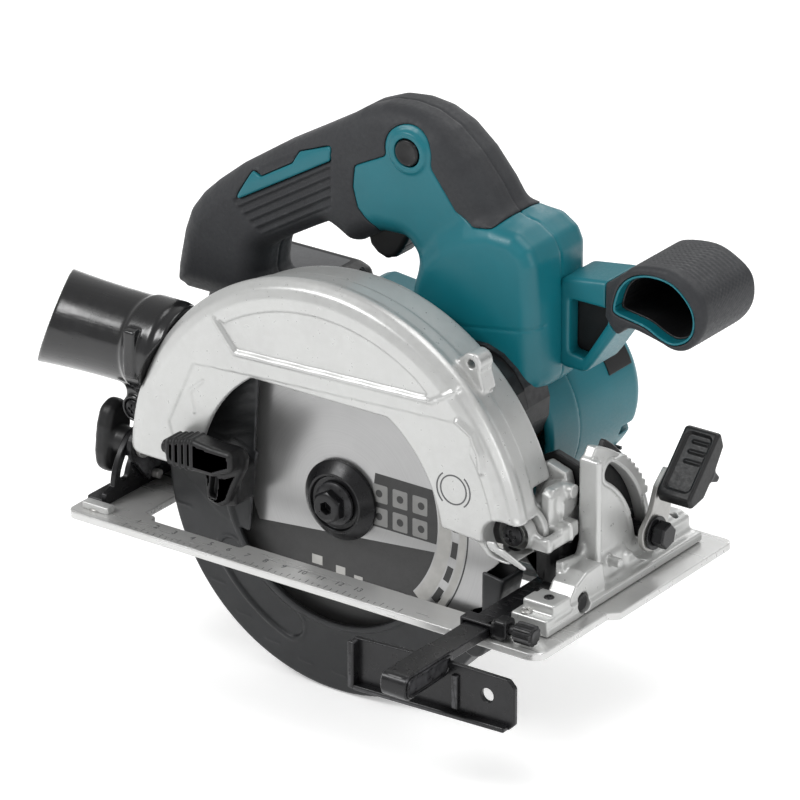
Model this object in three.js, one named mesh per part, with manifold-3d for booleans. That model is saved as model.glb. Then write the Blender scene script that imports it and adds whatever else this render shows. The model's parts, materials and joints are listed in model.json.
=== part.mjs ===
// Cordless circular saw with a 165 mm blade, as an assembly of separate pieces, in millimetres.
// Frame: +X is the cutting direction, +Y the motor side, +Z up. Z = 0 is the sole of the base and
// X = 0 is the blade arbor, with the saw at full depth and square to the base.
import * as THREE from 'three';
import { mergeVertices } from 'three/addons/utils/BufferGeometryUtils.js';
import Module from 'manifold-3d';

const wasm = await Module();
wasm.setup();

// ---- driving dimensions ----
const GAP = 0.3;                                   // air between pieces that touch
const ARBOR = { x: 0, z: 25.5 };                   // blade axis, along Y
const BLADE = { r: 82.5, y: -30, thick: 1.6, teeth: 24, flangeR: 18 };
const CASE = { r: 100, out: -48, inn: -12, wall: 3, window: 62.8, windowTop: 77.5, rear: 28, front: 33.7 };
const GUARD = { r: 87.2, out: -37, inn: -21, wall: 1.6, innerR: 55, from: 176, to: 352 };
const BASE = { x0: -118, x1: 131, near: -70, far: 70, thick: 3.5, notch: 4 };
const SLOT = { x0: -88.5, x1: 87.5, y0: -53, y1: -8, leverNotch: [-82, -34, -57] };
const BEVEL = { y: -27, z: 9, r: 55, start: 12, travel: 45, rear: 18.4, rearStart: 119 };
const DEPTH = { x: 92, z: 36.5, r: 122, travel: 37 };
const GEAR = { module: 0.928, wheel: 38, pinion: 8, y0: 1, y1: 6.5, angle: 42 };
const GRIP = { y: 20, half: 16, columnHalf: 21.5, wall: 2.6, round: 9 };
const MOTOR = { y0: 12.1, y1: 84, frontX: 38, frontZ: 54, frontR: 38, backR: 27.5, wall: 2.8 };
const KNOB = { y0: 16, y1: 56 };
const NOZZLE = { y: -28, z: 70, r: 19, x0: -151 };
const BATTERY = { x0: -126, x1: -16, y0: 38.5, y1: 84, z0: 8.5, z1: 79.5, hump: -62 };
const ARM = { x0: 88.8, x1: 100.8, z0: 3.8, z1: 8.2, tip: -127, end: 60 };
const CLAMP = { y0: -69, y1: -60.5, x1: 110, screwZ: 9 };
const FENCE = { x0: 53, x1: 134, y: -95, z0: -20, z1: 2.6 };

const deg = Math.PI / 180;
const centres = (GEAR.module * (GEAR.wheel + GEAR.pinion)) / 2;
const SHAFT = {
  x: ARBOR.x + centres * Math.cos(GEAR.angle * deg),
  z: ARBOR.z + centres * Math.sin(GEAR.angle * deg),
};

// ---- outlines: lists of [u, v] points ----
function arc(u, v, r, from, to, steps = 8) {
  return Array.from({ length: steps + 1 }, (_, i) => {
    const a = (from + ((to - from) * i) / steps) * deg;
    return [u + r * Math.cos(a), v + r * Math.sin(a)];
  });
}
const circle = (u, v, r, sides = 16) => arc(u, v, r, 0, 360 - 360 / sides, sides - 1);
const rect = (u0, u1, v0, v1) => [[u0, v0], [u1, v0], [u1, v1], [u0, v1]];
function roundRect(u0, u1, v0, v1, r, steps = 3) {
  return [
    ...arc(u1 - r, v0 + r, r, -90, 0, steps), ...arc(u1 - r, v1 - r, r, 0, 90, steps),
    ...arc(u0 + r, v1 - r, r, 90, 180, steps), ...arc(u0 + r, v0 + r, r, 180, 270, steps),
  ];
}
// The outline round two circles of different size, as a belt would lie.
function belt(a, b, steps = 8) {
  const along = Math.atan2(b.v - a.v, b.u - a.u) / deg;
  const lean = Math.acos((a.r - b.r) / Math.hypot(b.u - a.u, b.v - a.v)) / deg;
  return [
    ...arc(b.u, b.v, b.r, along - lean, along + lean, steps),
    ...arc(a.u, a.v, a.r, along + lean, along + 360 - lean, steps),
  ];
}
// A band between two radii round a centre, closed by rounded or straight ends.
function band(u, v, inner, outer, from, to, steps = 10) {
  return [...arc(u, v, outer, from, to, steps), ...arc(u, v, inner, to, from, steps)];
}
function slotArc(u, v, r, half, from, to, steps = 8) {
  const end = (a) => [u + r * Math.cos(a * deg), v + r * Math.sin(a * deg)];
  return [
    ...arc(u, v, r + half, from, to, steps), ...arc(...end(to), half, to, to + 180, 4).slice(1, -1),
    ...arc(u, v, r - half, to, from, steps), ...arc(...end(from), half, from + 180, from + 360, 4).slice(1, -1),
  ];
}
// The same closed outline, moved inwards by a distance, with long corners cut short.
function inward(points, distance) {
  const side = Math.sign(THREE.ShapeUtils.area(points.map((p) => new THREE.Vector2(...p))));
  return points.map((p, i) => {
    const [a, b] = [points.at(i - 1), points[(i + 1) % points.length]];
    const before = new THREE.Vector2(p[0] - a[0], p[1] - a[1]).normalize();
    const after = new THREE.Vector2(b[0] - p[0], b[1] - p[1]).normalize();
    const along = before.clone().add(after).normalize();
    const reach = Math.min(distance / Math.max(along.dot(before), 0.1), 1.5 * distance);
    return [p[0] - side * along.y * reach, p[1] + side * along.x * reach];
  });
}
// A smooth closed run through a few points.
function smooth(points, steps) {
  const run = new THREE.CatmullRomCurve3(points.map((p) => new THREE.Vector3(p[0], p[1], 0)), true);
  return run.getPoints(steps).map((p) => [p.x, p.y]).slice(0, -1);
}
function gearOutline(teeth, module, tipShort = 0) {
  const pitch = (teeth * module) / 2;
  const step = 360 / teeth;
  const made = [];
  const tip = 0.9 - tipShort;
  for (let i = 0; i < teeth; i++) {
    for (const [share, r] of [[-0.33, -1.2], [-0.14, tip], [0.14, tip], [0.33, -1.2]]) {
      made.push(...arc(0, 0, pitch + r * module, (i + share) * step, (i + share) * step, 1).slice(1));
    }
  }
  return made;
}
function turned(points, angle, u, v) {
  const [c, s] = [Math.cos(angle * deg), Math.sin(angle * deg)];
  return points.map(([a, b]) => [u + a * c - b * s, v + a * s + b * c]);
}

// ---- solids ----
function toSolid(geometry) {
  const loose = geometry.index ? geometry.toNonIndexed() : geometry;
  const bare = new THREE.BufferGeometry().setAttribute('position', loose.getAttribute('position'));
  const merged = mergeVertices(bare, 1e-4);
  const faces = [];
  for (let i = 0; i < merged.index.count; i += 3) {
    const [a, b, c] = [0, 1, 2].map((k) => merged.index.array[i + k]);
    if (a !== b && b !== c && a !== c) faces.push([a, b, c]);
  }
  const build = (list) => new wasm.Manifold(new wasm.Mesh({
    numProp: 3,
    vertProperties: merged.attributes.position.array,
    triVerts: new Uint32Array(list.flat()),
  }));
  const made = build(faces);
  return made.volume() > 0 ? made : build(faces.map(([a, b, c]) => [a, c, b]));
}
function extrusion(points, depth, { holes = [], bevel = 0, inset = 0, rounds = 2 } = {}) {
  const shape = new THREE.Shape(points.map((p) => new THREE.Vector2(...p)));
  shape.holes = holes.map((h) => new THREE.Path(h.map((p) => new THREE.Vector2(...p))));
  return new THREE.ExtrudeGeometry(shape, {
    depth: depth - 2 * bevel,
    bevelEnabled: bevel > 0,
    bevelThickness: bevel,
    bevelSize: bevel,
    bevelOffset: -bevel - inset,
    bevelSegments: rounds,
  }).translate(0, 0, bevel);
}
const acrossX = new THREE.Matrix4().makeBasis(
  new THREE.Vector3(0, 1, 0), new THREE.Vector3(0, 0, 1), new THREE.Vector3(1, 0, 0));
// Outlines in (x, z) swept along Y, in (y, z) swept along X, and in (x, y) swept along Z.
const alongY = (points, y0, y1, options) =>
  toSolid(extrusion(points, y1 - y0, options).rotateX(Math.PI / 2).translate(0, y1, 0));
const alongX = (points, x0, x1, options) =>
  toSolid(extrusion(points, x1 - x0, options).applyMatrix4(acrossX).translate(x0, 0, 0));
const alongZ = (points, z0, z1, options) =>
  toSolid(extrusion(points, z1 - z0, options).translate(0, 0, z0));
const box = (x0, x1, y0, y1, z0, z1) => toSolid(new THREE.BoxGeometry(x1 - x0, y1 - y0, z1 - z0)
  .translate((x0 + x1) / 2, (y0 + y1) / 2, (z0 + z1) / 2));
const lathe = (profile, sides) =>
  new THREE.LatheGeometry(profile.map((p) => new THREE.Vector2(...p)), sides);
// Turned pieces: profiles are [radius, place along the axis].
const turnY = (profile, x, z, sides = 20) => toSolid(lathe(profile, sides).translate(x, 0, z));
const turnX = (profile, y, z, sides = 20) =>
  toSolid(lathe(profile, sides).rotateZ(-Math.PI / 2).translate(0, y, z));
const rod = (r, a, b) => [[0, a], [r, a], [r, b], [0, b]];
const ring = (r0, r1, a, b) => [[r0, a], [r1, a], [r1, b], [r0, b], [r0, a]];
const union = (...solids) => solids.reduce((a, b) => a.add(b));
const cut = (solid, ...tools) => tools.reduce((a, b) => a.subtract(b), solid);

// ---- materials ----
const paint = (color, roughness, metalness = 0) => new THREE.MeshStandardMaterial({ color, roughness, metalness });
const looks = {
  teal: paint(0x1f7f90, 0.35), rubber: paint(0x2b2c2e, 0.75), black: paint(0x1c1c1e, 0.45),
  silver: paint(0xc9ccc9, 0.35, 0.6), plate: paint(0xb9bbbd, 0.25, 0.9), steel: paint(0x8d9092, 0.3, 0.9),
  darkSteel: paint(0x2d2e30, 0.4, 0.7), guard: paint(0x37393b, 0.5, 0.4), copper: paint(0xb4713a, 0.4, 0.8),
  board: paint(0x1f5a35, 0.6), lens: paint(0xe8eef2, 0.1), blade: paint(0xa9abad, 0.25, 0.95),
};

const saw = new THREE.Group();
function add(name, solid, material) {
  const mesh = solid.getMesh();
  const geometry = new THREE.BufferGeometry();
  geometry.setAttribute('position', new THREE.BufferAttribute(new Float32Array(mesh.vertProperties), 3));
  geometry.setIndex(new THREE.BufferAttribute(new Uint32Array(mesh.triVerts), 1));
  geometry.computeVertexNormals();
  const made = new THREE.Mesh(geometry, material);
  made.name = name;
  saw.add(made);
}

// ---- base, with its two fixed quadrants ----
const bevelAt = (r, angle) => [BEVEL.y + r * Math.cos(angle * deg), BEVEL.z + r * Math.sin(angle * deg)];
const BOLT = bevelAt(BEVEL.r, BEVEL.start);
const REAR_BOLT = bevelAt(BEVEL.rear, BEVEL.rearStart);

function basePlate() {
  const step = BASE.x1 - BASE.notch;
  const outline = [
    ...arc(BASE.x0 + 5, BASE.near + 5, 5, 180, 270, 3), ...arc(step - 7, BASE.near + 7, 7, -90, 0, 3),
    [step, -20], [BASE.x1, -16], ...arc(BASE.x1 - 4, BASE.far - 4, 4, 0, 90, 3),
    ...arc(BASE.x0 + 4, BASE.far - 4, 4, 90, 180, 3),
  ];
  const opening = roundRect(SLOT.x0, SLOT.x1, SLOT.y0, SLOT.y1, 3);
  const [notch0, notch1, notchY] = SLOT.leverNotch;
  const plate = cut(alongZ(outline, 0, BASE.thick, { holes: [opening] }),
    alongZ(roundRect(notch0, notch1, notchY, SLOT.y0 + 6, 2), -1, BASE.thick + 1));
  const rib = alongZ(roundRect(-100, 84, 40, 44, 1.5, 2), BASE.thick - 0.5, BASE.thick + 2);
  return union(plate, rib);
}
function frontQuadrant() {
  const foot = alongZ(roundRect(102, 121, -55, 62, 2, 2), BASE.thick + GAP, 11.3);
  const face = [
    [-6.5, 10], [40, 10], ...arc(BEVEL.y, BEVEL.z, 64, 4, 71, 12), [-6.5, 66],
  ];
  const slot = slotArc(BEVEL.y, BEVEL.z, BEVEL.r, 3.6, BEVEL.start, BEVEL.start + BEVEL.travel + 1, 10);
  const upright = alongX(face, 106.3, 112, { holes: [slot] });
  const wall = box(106.3, 112, -11, -6.4, 10, 62);
  const lug = alongX([[-36, 10], [-12, 10], [-12, 30], [-17, 26], ...arc(BEVEL.y, BEVEL.z, 9, 45, 160, 5)],
    107, 121);
  const stop = turnX(rod(2, 111, 120), 2, 20, 10);
  const step = box(104, 121, -51, -42, 10, 16);
  return cut(union(foot, upright, wall, lug, stop, step),
    turnX(rod(2.8, 100, 122), BEVEL.y, BEVEL.z, 12),
    alongX(circle(BEVEL.y, BEVEL.z, 6.2, 14), 101, 107 - GAP / 2),
    box(101, 106.15, -41, -5.7, 3, 13.1));
}
function rearQuadrant() {
  const face = [
    [-58, BASE.thick + GAP], [8, BASE.thick + GAP], [8, 9], ...arc(BEVEL.y, BEVEL.z, 25, 25, 176, 10), [-58, 9],
  ];
  const slot = slotArc(BEVEL.y, BEVEL.z, BEVEL.rear, 2.7, BEVEL.rearStart, BEVEL.rearStart + BEVEL.travel, 6);
  const plate = cut(alongX(face, -108, -105.5, { holes: [slot] }),
    turnX(rod(2.4, -112, -100), BEVEL.y, BEVEL.z, 12));
  return union(plate, box(-116.2, -106, -58, 8, BASE.thick + GAP, 6.2));
}
add('base_plate', basePlate(), looks.plate);
add('front_quadrant', frontQuadrant(), looks.silver);
add('rear_quadrant', rearQuadrant(), looks.darkSteel);
add('front_bevel_pin', turnX([[0, 101.9], [2.5, 101.9], [2.5, 121.4], [4, 121.4], [4, 123], [0, 123]],
  BEVEL.y, BEVEL.z, 12), looks.steel);
add('rear_bevel_pin', turnX([[0, -110], [2.7, -110], [2.7, -108.3], [2.1, -108.3], [2.1, -100], [0, -100]],
  BEVEL.y, BEVEL.z, 12), looks.steel);

// ---- rip guide: an arm across the base and a fence hanging off it ----
function ripGuide() {
  const arm = box(ARM.x0, ARM.x1, ARM.tip + 4, ARM.end, ARM.z0, ARM.z1);
  const tip = alongX([[ARM.tip + 5, ARM.z0], [ARM.tip + 5, ARM.z1], [ARM.tip + 2, ARM.z1 - 0.5],
    [ARM.tip, ARM.z1 - 4], [ARM.tip, -3], [ARM.tip + 2.4, -3], [ARM.tip + 2.4, ARM.z0]], ARM.x0, ARM.x1);
  const plate = alongY([
    [FENCE.x0, FENCE.z0], [FENCE.x1 - 3, FENCE.z0], [FENCE.x1, FENCE.z0 + 3],
    ...arc(FENCE.x1 - 3, FENCE.z1 - 3, 3, 0, 90, 3), [ARM.x1 - 2, FENCE.z1], [ARM.x1 - 2, ARM.z0 + 0.6],
    [ARM.x0 + 2, ARM.z0 + 0.6], [ARM.x0 + 2, FENCE.z1], [FENCE.x0, FENCE.z1],
  ], FENCE.y - 2.4, FENCE.y, { holes: [circle(121, -7, 3, 12)] });
  const lip = box(FENCE.x0 + 4, FENCE.x1 - 4, FENCE.y - 6, FENCE.y - 2, FENCE.z0, FENCE.z0 + 2.2);
  return union(arm, tip, plate, lip);
}
add('rip_guide', ripGuide(), looks.darkSteel);
const clampY = (CLAMP.y0 + CLAMP.y1) / 2;
function ripGuideClamp() {
  const strap = box(ARM.x0 - 3.4, CLAMP.x1, CLAMP.y0, CLAMP.y1, BASE.thick + GAP, 10.6);
  const nut = box(ARM.x1 + 2.4, CLAMP.x1, CLAMP.y0, CLAMP.y1, 8, CLAMP.screwZ + 4.2);
  return cut(union(strap, nut), box(ARM.x0 - 0.6, ARM.x1 + 0.6, -80, -50, 0, ARM.z1 + 0.5),
    turnX(rod(2.4, ARM.x1 - 1, 120), clampY, CLAMP.screwZ, 12));
}
add('rip_guide_clamp', ripGuideClamp(), looks.silver);
add('rip_clamp_screw', turnX([[0, ARM.x1 + GAP], [2.1, ARM.x1 + GAP], [2.1, 113], [4.6, 113], [5, 114], [5, 121],
  [4.2, 122], [0, 122]], clampY, CLAMP.screwZ, 16), looks.black);

// ---- tilting frame: carries the depth pivot and the depth guide ----
function frontTiltBracket() {
  const block = alongX([
    [-24, 11.5], [-6, 11.5], [6, 14], [31, 14], [33.5, 20], [33.5, 27], [20, 28], [-4, 44], [-10, 50], [-24, 50],
  ], 96, 101.4);
  const lug = alongX([
    ...arc(BEVEL.y, BEVEL.z, 5, 100, 350, 8), [-21, 12], [-14, 12], [-14, 20], [-24, 20],
  ], 101, 105.8);
  const ear = alongY([
    ...arc(DEPTH.x, DEPTH.z, 10, 60, 215, 8), [DEPTH.x - 4, 22], [97, 12.5], [101.4, 12.5], [101.4, 46],
  ], -25.5, -16);
  const seat = turnX(rod(7, 96, 105.8), ...BOLT, 12);
  return cut(union(block, lug, ear, seat),
    turnY(rod(3.4, -60, 0), DEPTH.x, DEPTH.z, 12),
    turnX(rod(3.4, 90, 110), ...BOLT, 12),
    turnX(rod(2.8, 90, 110), BEVEL.y, BEVEL.z, 12),
    box(95, 110, -80, 60, 0, BASE.thick + GAP));
}
function rearTiltBracket() {
  const face = [[BEVEL.y - 4, BEVEL.z - 2], [-4, BEVEL.z - 2], [-4, 24], [-18, 38], ...arc(...REAR_BOLT, 8, 70, 230, 6)];
  const upright = alongX(face, -105.1, -102.6);
  const rearArm = box(-103, -92, -9, -6.6, 6, 24);
  return cut(union(upright, rearArm),
    turnX(rod(2.4, -112, -95), BEVEL.y, BEVEL.z, 12), turnX(rod(2.6, -112, -95), ...REAR_BOLT, 12));
}
function depthGuide() {
  const rails = band(DEPTH.x, DEPTH.z, DEPTH.r - 8, DEPTH.r + 8, 187, 180 - DEPTH.travel - 4, 12);
  const slot = slotArc(DEPTH.x, DEPTH.z, DEPTH.r, 3.4, 177 - DEPTH.travel, 177.5, 12);
  const tail = [[-94, 9], [-42, 9], [-30, 18], [-31, 33], [-46, 30], [-60, 22], [-94, 21]];
  return cut(union(alongY(rails, -9, -7), alongY(tail, -9, -7)), alongY(slot, -12, -4),
    box(-110, -91.7, -12, -4, 0, 60));
}
const BOLT_ANGLE = 177;
const depthAt = (r, a) => [DEPTH.x + r * Math.cos(a * deg), DEPTH.z + r * Math.sin(a * deg)];
const DEPTH_BOLT = depthAt(DEPTH.r, BOLT_ANGLE);
add('front_tilt_bracket', frontTiltBracket(), looks.silver);
add('rear_tilt_bracket', rearTiltBracket(), looks.darkSteel);
add('depth_guide', depthGuide(), looks.darkSteel);
add('depth_pivot_screw', cut(turnY([[0, -48.5], [6.5, -48.5], [8, -47], [8, -44.5], [3, -44.5], [3, -16], [0, -16]],
  DEPTH.x, DEPTH.z, 16), box(87, 97, -50, -46.5, 35.6, 37.4), box(91.1, 92.9, -50, -46.5, 31.5, 41.5)), looks.black);
add('bevel_bolt', union(turnX([[0, 95], [3, 95], [3, 121], [0, 121]], ...BOLT, 12),
  alongX(circle(...BOLT, 7, 6), 120.5, 126.5)), looks.darkSteel);
add('rear_clamp_bolt', turnX([[0, -121.5], [2.3, -121.5], [2.3, -102.3], [5, -102.3], [5, -100.4], [0, -100.4]],
  ...REAR_BOLT, 12), looks.steel);

// Clamp levers: a steel plate with a moulded grip at the front, a paddle at the rear.
const LEVER_ANGLE = 58;
const PADDLE_ANGLE = 80;
const leverPlate = turned([
  ...arc(0, 0, 8.5, 110, 250, 8), [6, -7], [20, -5.5], [26, -5], [26, 5], [20, 6], [6, 7],
], LEVER_ANGLE, ...BOLT);
add('bevel_lever_plate', cut(alongX(leverPlate, 116.2, 118.8), turnX(rod(3.3, 110, 125), ...BOLT, 12)), looks.steel);
const leverGrip = turned([
  [17.5, -9], [24, -12], [50, -12], ...arc(49, 7, 6, -20, 80, 4), [24, 12], [19, 8],
], LEVER_ANGLE, ...BOLT);
add('bevel_lever_grip', alongX(leverGrip, 119.2, 136, { bevel: 2.5, rounds: 1 }), looks.black);
const paddle = turned([
  [-17, -7], ...arc(-10, 0, 8, 200, 160, 2), [-8, 6], [8, 6], ...arc(14, 0, 8, 60, -60, 4), [8, -6], [-8, -6],
], PADDLE_ANGLE, ...REAR_BOLT);
add('rear_clamp_lever', cut(
  union(alongX(paddle, -128, -118.4, { bevel: 1.5, rounds: 1 }), turnX(rod(5, -119, -108.6), ...REAR_BOLT, 12)),
  turnX(rod(2.6, -122, -100), ...REAR_BOLT, 12),
), looks.black);

// ---- blade case and what hangs on it ----
function bladeCase() {
  const w = CASE.wall;
  const shell = turnY([
    [22, CASE.out], [92, CASE.out], [97, CASE.out + 1.2], [99.6, CASE.out + 5], [CASE.r, CASE.out + 8],
    [CASE.r, -29.5], [97.5, -28], [97.5, CASE.inn], [22, CASE.inn], [22, CASE.inn - w], [94.5, CASE.inn - w],
    [94.5, -28.5], [97, -30.5], [97, CASE.out + 8], [94.5, CASE.out + w], [22, CASE.out + w], [22, CASE.out],
  ], ARBOR.x, ARBOR.z, 36);
  const [wr, rise] = [CASE.window, CASE.windowTop - ARBOR.z];
  const top = Math.asin(rise / wr) / deg;
  const window = [
    ...arc(ARBOR.x, ARBOR.z, wr, 0, top, 6), ...arc(ARBOR.x, ARBOR.z, wr, 180 - top, 180, 6), [-wr, 0], [wr, 0],
  ];
  const outerCut = [[-120, CASE.rear], [0, CASE.rear], [0, CASE.front], [120, CASE.front], [120, -90], [-120, -90]];
  const innerCut = [
    [-120, 12], [-23, 12], ...arc(ARBOR.x, ARBOR.z, 26, 211, 329, 6), [23, 12], [120, 12], [120, -90], [-120, -90],
  ];
  const plain = cut(shell, alongY(window, -50, CASE.out + w + 0.5), alongY(outerCut, -50, -15.2),
    alongY(innerCut, -16, -10));
  const ear = alongY([
    ...arc(DEPTH.x, DEPTH.z, 11, -150, 30, 8), [99, 48], [88, 56], [82, 50], [79, 33],
  ], -44, -26.2);
  const lug = alongY([...arc(63, 104, 6, -20, 130, 5), [50, 96], [66, 84], [72, 92]], -27, -23.5);
  return cut(union(plain, ear, lug),
    turnY(rod(3.3, -60, 0), DEPTH.x, DEPTH.z, 12),
    turnY(rod(8.4, -60, -43.7), DEPTH.x, DEPTH.z, 16),
    turnY(ring(30, GUARD.r + 1.2, GUARD.out - 1.5, GUARD.inn + 4.5), ARBOR.x, ARBOR.z, 36),
    turnY(rod(2, -30, -20), 63, 104, 10),
    turnY(rod(3.3, -30, 0), ...DEPTH_BOLT, 12),
    turnY(rod(17, -26.1, 0), DEPTH.x, DEPTH.z, 24), box(92.5, 110, -26.1, 0, -5, 34),
    alongX(roundRect(NOZZLE.y - 13, NOZZLE.y + 13, 56, 84, 5), -110, -60));
}
add('blade_case', bladeCase(), looks.silver);

function lowerGuard() {
  const { r, out, inn, wall, innerR, from, to } = GUARD;
  const shell = turnY([
    [innerR, out], [r - 1, out], [r, out + 1], [r, inn], [20.6, inn], [20.6, inn - wall], [r - wall, inn - wall],
    [r - wall, out + wall], [innerR, out + wall], [innerR, out],
  ], ARBOR.x, ARBOR.z, 36);
  const keep = alongY([...arc(ARBOR.x, ARBOR.z, 95, from, to, 12), [ARBOR.x, ARBOR.z]], out - 1, inn + 1);
  const hub = turnY(ring(20.6, 25, inn - wall, inn + 3.5), ARBOR.x, ARBOR.z, 24);
  const tab = alongY(band(ARBOR.x, ARBOR.z, 42, 57, 162, 182, 4), out, out + wall);
  const upper = alongY(band(ARBOR.x, ARBOR.z, 55.5, r - 0.5, 165, from + 1, 3), out, out + wall);
  const window = alongY(slotArc(ARBOR.x, ARBOR.z, 66, 6, 214, 250, 6), out - 1, out + wall + 1);
  const nose = alongY([...arc(78, -14, 6, -120, 60, 5), [70, -12]], out - 10, out + 0.5);
  return union(cut(union(shell.intersect(keep), hub), window), tab, upper, nose);
}
add('lower_guard', lowerGuard(), looks.guard);
function guardLever() {
  const at = (r, a) => [ARBOR.x + r * Math.cos(a * deg), ARBOR.z + r * Math.sin(a * deg)];
  const neck = alongY(band(ARBOR.x, ARBOR.z, 43, 50.5, 164, 178, 3), -50, GUARD.out - 0.1);
  const root = alongY([at(42, 180), at(41, 168), at(52, 160), at(64, 163), at(62, 172), at(56, 180)], -51.8, -48.8);
  const thumb = alongY([at(56, 162), at(80, 162), at(81, 167), at(70, 169), at(59, 168)], -62, -48.8,
    { bevel: 1.5, rounds: 1 });
  return union(neck, root, thumb);
}
add('guard_lever', guardLever(), looks.black);
add('guard_spring', turnY(ring(26.4, 28.2, -19.6, -17.8), ARBOR.x, ARBOR.z, 20), looks.steel);

function dustNozzle() {
  const { y, z, r, x0 } = NOZZLE;
  const outer = union(turnX(rod(r, x0, -112), y, z, 28),
    alongX(roundRect(y - 17, y + 13, 51, 89, 6), -113, -99.5),
    alongX(roundRect(y - 15, y + 11, 53, 87, 5), -100, -80));
  const lug = alongX([[y - 7, 54], [y + 5, 54], ...arc(y - 1, 41.5, 6, 0, -180, 5)], -110, -97.5);
  const inner = union(turnX(rod(r - 1.8, x0 - 1, -113), y, z, 28),
    alongX(roundRect(y - 12.5, y + 8.5, 55.5, 84.5, 4), -114, -70));
  const room = turnY(rod(CASE.r + GAP, -60, 0), ARBOR.x, ARBOR.z, 36);
  const throat = alongX(roundRect(y - 12.6, y + 12.6, 56.4, 83.6, 5), -110, -80);
  return cut(union(cut(outer, inner), lug), cut(room, throat),
    turnY(rod(GUARD.r + 2.2, -60, 0), ARBOR.x, ARBOR.z, 36), turnX(rod(2.3, -115, -90), y - 1, 41.5, 10),
    box(-99, -70, -60, 0, 20, 55));
}
add('dust_nozzle', dustNozzle(), looks.black);
add('nozzle_screw', cut(turnX([[0, -113.4], [3, -113.4], [4.4, -112.3], [4.4, -110.4], [2, -110.4], [2, -101], [0, -101]],
  NOZZLE.y - 1, 41.5, 12), box(-115, -112.4, NOZZLE.y - 3.4, NOZZLE.y + 1.4, 41, 42)), looks.steel);

// ---- spindle, gears and blade ----
const onArbor = (profile, sides) => turnY(profile, ARBOR.x, ARBOR.z, sides);
function blade() {
  const pitch = 360 / BLADE.teeth;
  const outline = [];
  for (let i = 0; i < BLADE.teeth; i++) {
    const a = i * pitch;
    for (const [r, lag] of [[BLADE.r, 0], [76, 0.6], [74.5, 3.5], [80.5, 9.5], [80.5, 13.2]]) {
      outline.push([ARBOR.x + r * Math.cos((a + lag) * deg), ARBOR.z + r * Math.sin((a + lag) * deg)]);
    }
  }
  return alongY(outline, BLADE.y - BLADE.thick / 2, BLADE.y + BLADE.thick / 2,
    { holes: [circle(ARBOR.x, ARBOR.z, 10.2, 20)] });
}
add('blade', blade(), looks.blade);
add('inner_flange', onArbor([[6.3, -20.4], [9, -20.4], [9, -24.5], [BLADE.flangeR, -26], [BLADE.flangeR, -28.9],
  [10, -28.9], [10, -30.6], [6.3, -30.6], [6.3, -20.4]], 24), looks.darkSteel);
add('outer_flange', onArbor([[4.4, -31.1], [BLADE.flangeR, -31.1], [BLADE.flangeR, -34], [14, -37], [11.5, -37], [11, -35.6],
  [4.4, -35.6], [4.4, -31.1]], 24), looks.darkSteel);
const hexagon = (r) => turned(circle(0, 0, r, 6), 30, ARBOR.x, ARBOR.z);
add('blade_bolt', cut(
  union(alongY(hexagon(7.4), -43, -38.5),
    onArbor([[0, -26], [3.6, -26], [3.6, -36], [9.5, -36], [9.5, -37.6], [7, -38.8], [0, -38.8]], 16)),
  alongY(hexagon(2.9), -44, -39.5),
), looks.darkSteel);
add('spindle', cut(onArbor([[0, -30.4], [6, -30.4], [6, -9.8], [7, -9.8], [7, 0.6], [5, 0.6], [5, 11.6], [0, 11.6]], 16),
  onArbor(rod(3.9, -31, -25.6), 16)), looks.steel);
add('spindle_bearing_outer', onArbor(ring(6.3, 13, -20, -10.2), 20), looks.steel);
add('spindle_bearing_inner', onArbor(ring(5.3, 8.2, 8.2, 11.4), 16), looks.steel);
const wheelOutline = turned(gearOutline(GEAR.wheel, GEAR.module, 0.05), 0, ARBOR.x, ARBOR.z);
add('drive_gear', alongY(wheelOutline, GEAR.y0, GEAR.y1, { holes: [circle(ARBOR.x, ARBOR.z, 5.3, 14)] }), looks.steel);

// ---- motor, on its own shaft ----
const onShaft = (profile, sides) => turnY(profile, SHAFT.x, SHAFT.z, sides);
// A gap of the pinion faces the wheel's tooth that points at it.
const meshAngle = GEAR.angle + 180 + 180 / GEAR.pinion;
const wheelPhase = (GEAR.angle / (360 / GEAR.wheel)) % 1;
const pinionTurn = meshAngle + (wheelPhase * 360) / GEAR.pinion;
add('pinion', alongY(turned(gearOutline(GEAR.pinion, GEAR.module, 0.1), pinionTurn, SHAFT.x, SHAFT.z),
  GEAR.y0 - 1, GEAR.y1 + 1, { holes: [circle(SHAFT.x, SHAFT.z, 2.2, 10)] }), looks.steel);
add('rotor_shaft', onShaft([[0, -0.6], [1.9, -0.6], [1.9, 10], [3.5, 10], [3.5, 74], [0, 74]], 14), looks.steel);
add('rotor', onShaft(ring(3.8, 13, 33, 60), 20), looks.darkSteel);
function fan() {
  const disc = onShaft(ring(3.8, 22, 26, 27.6), 24);
  const vanes = Array.from({ length: 8 }, (_, i) => alongY(
    turned([[7, -0.7], [21, 2], [21, 3.4], [7, 0.7]], i * 45, SHAFT.x, SHAFT.z), 20.5, 26.5));
  return union(disc, onShaft(ring(3.8, 8, 20.5, 26.5), 16), ...vanes);
}
add('fan', fan(), looks.black);
function stator() {
  const body = onShaft(ring(14, 23.4, 31, 62), 28);
  const slots = Array.from({ length: 6 }, (_, i) => alongY(
    turned(rect(12, 19.5, -2.4, 2.4), i * 60, SHAFT.x, SHAFT.z), 30, 63));
  return cut(body, ...slots);
}
add('stator', stator(), looks.copper);
add('rotor_bearing_gear', onShaft(ring(3.8, 8, 14.2, 19), 16), looks.steel);
add('rotor_bearing_end', onShaft(ring(3.8, 8, 67, 72), 16), looks.steel);

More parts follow.
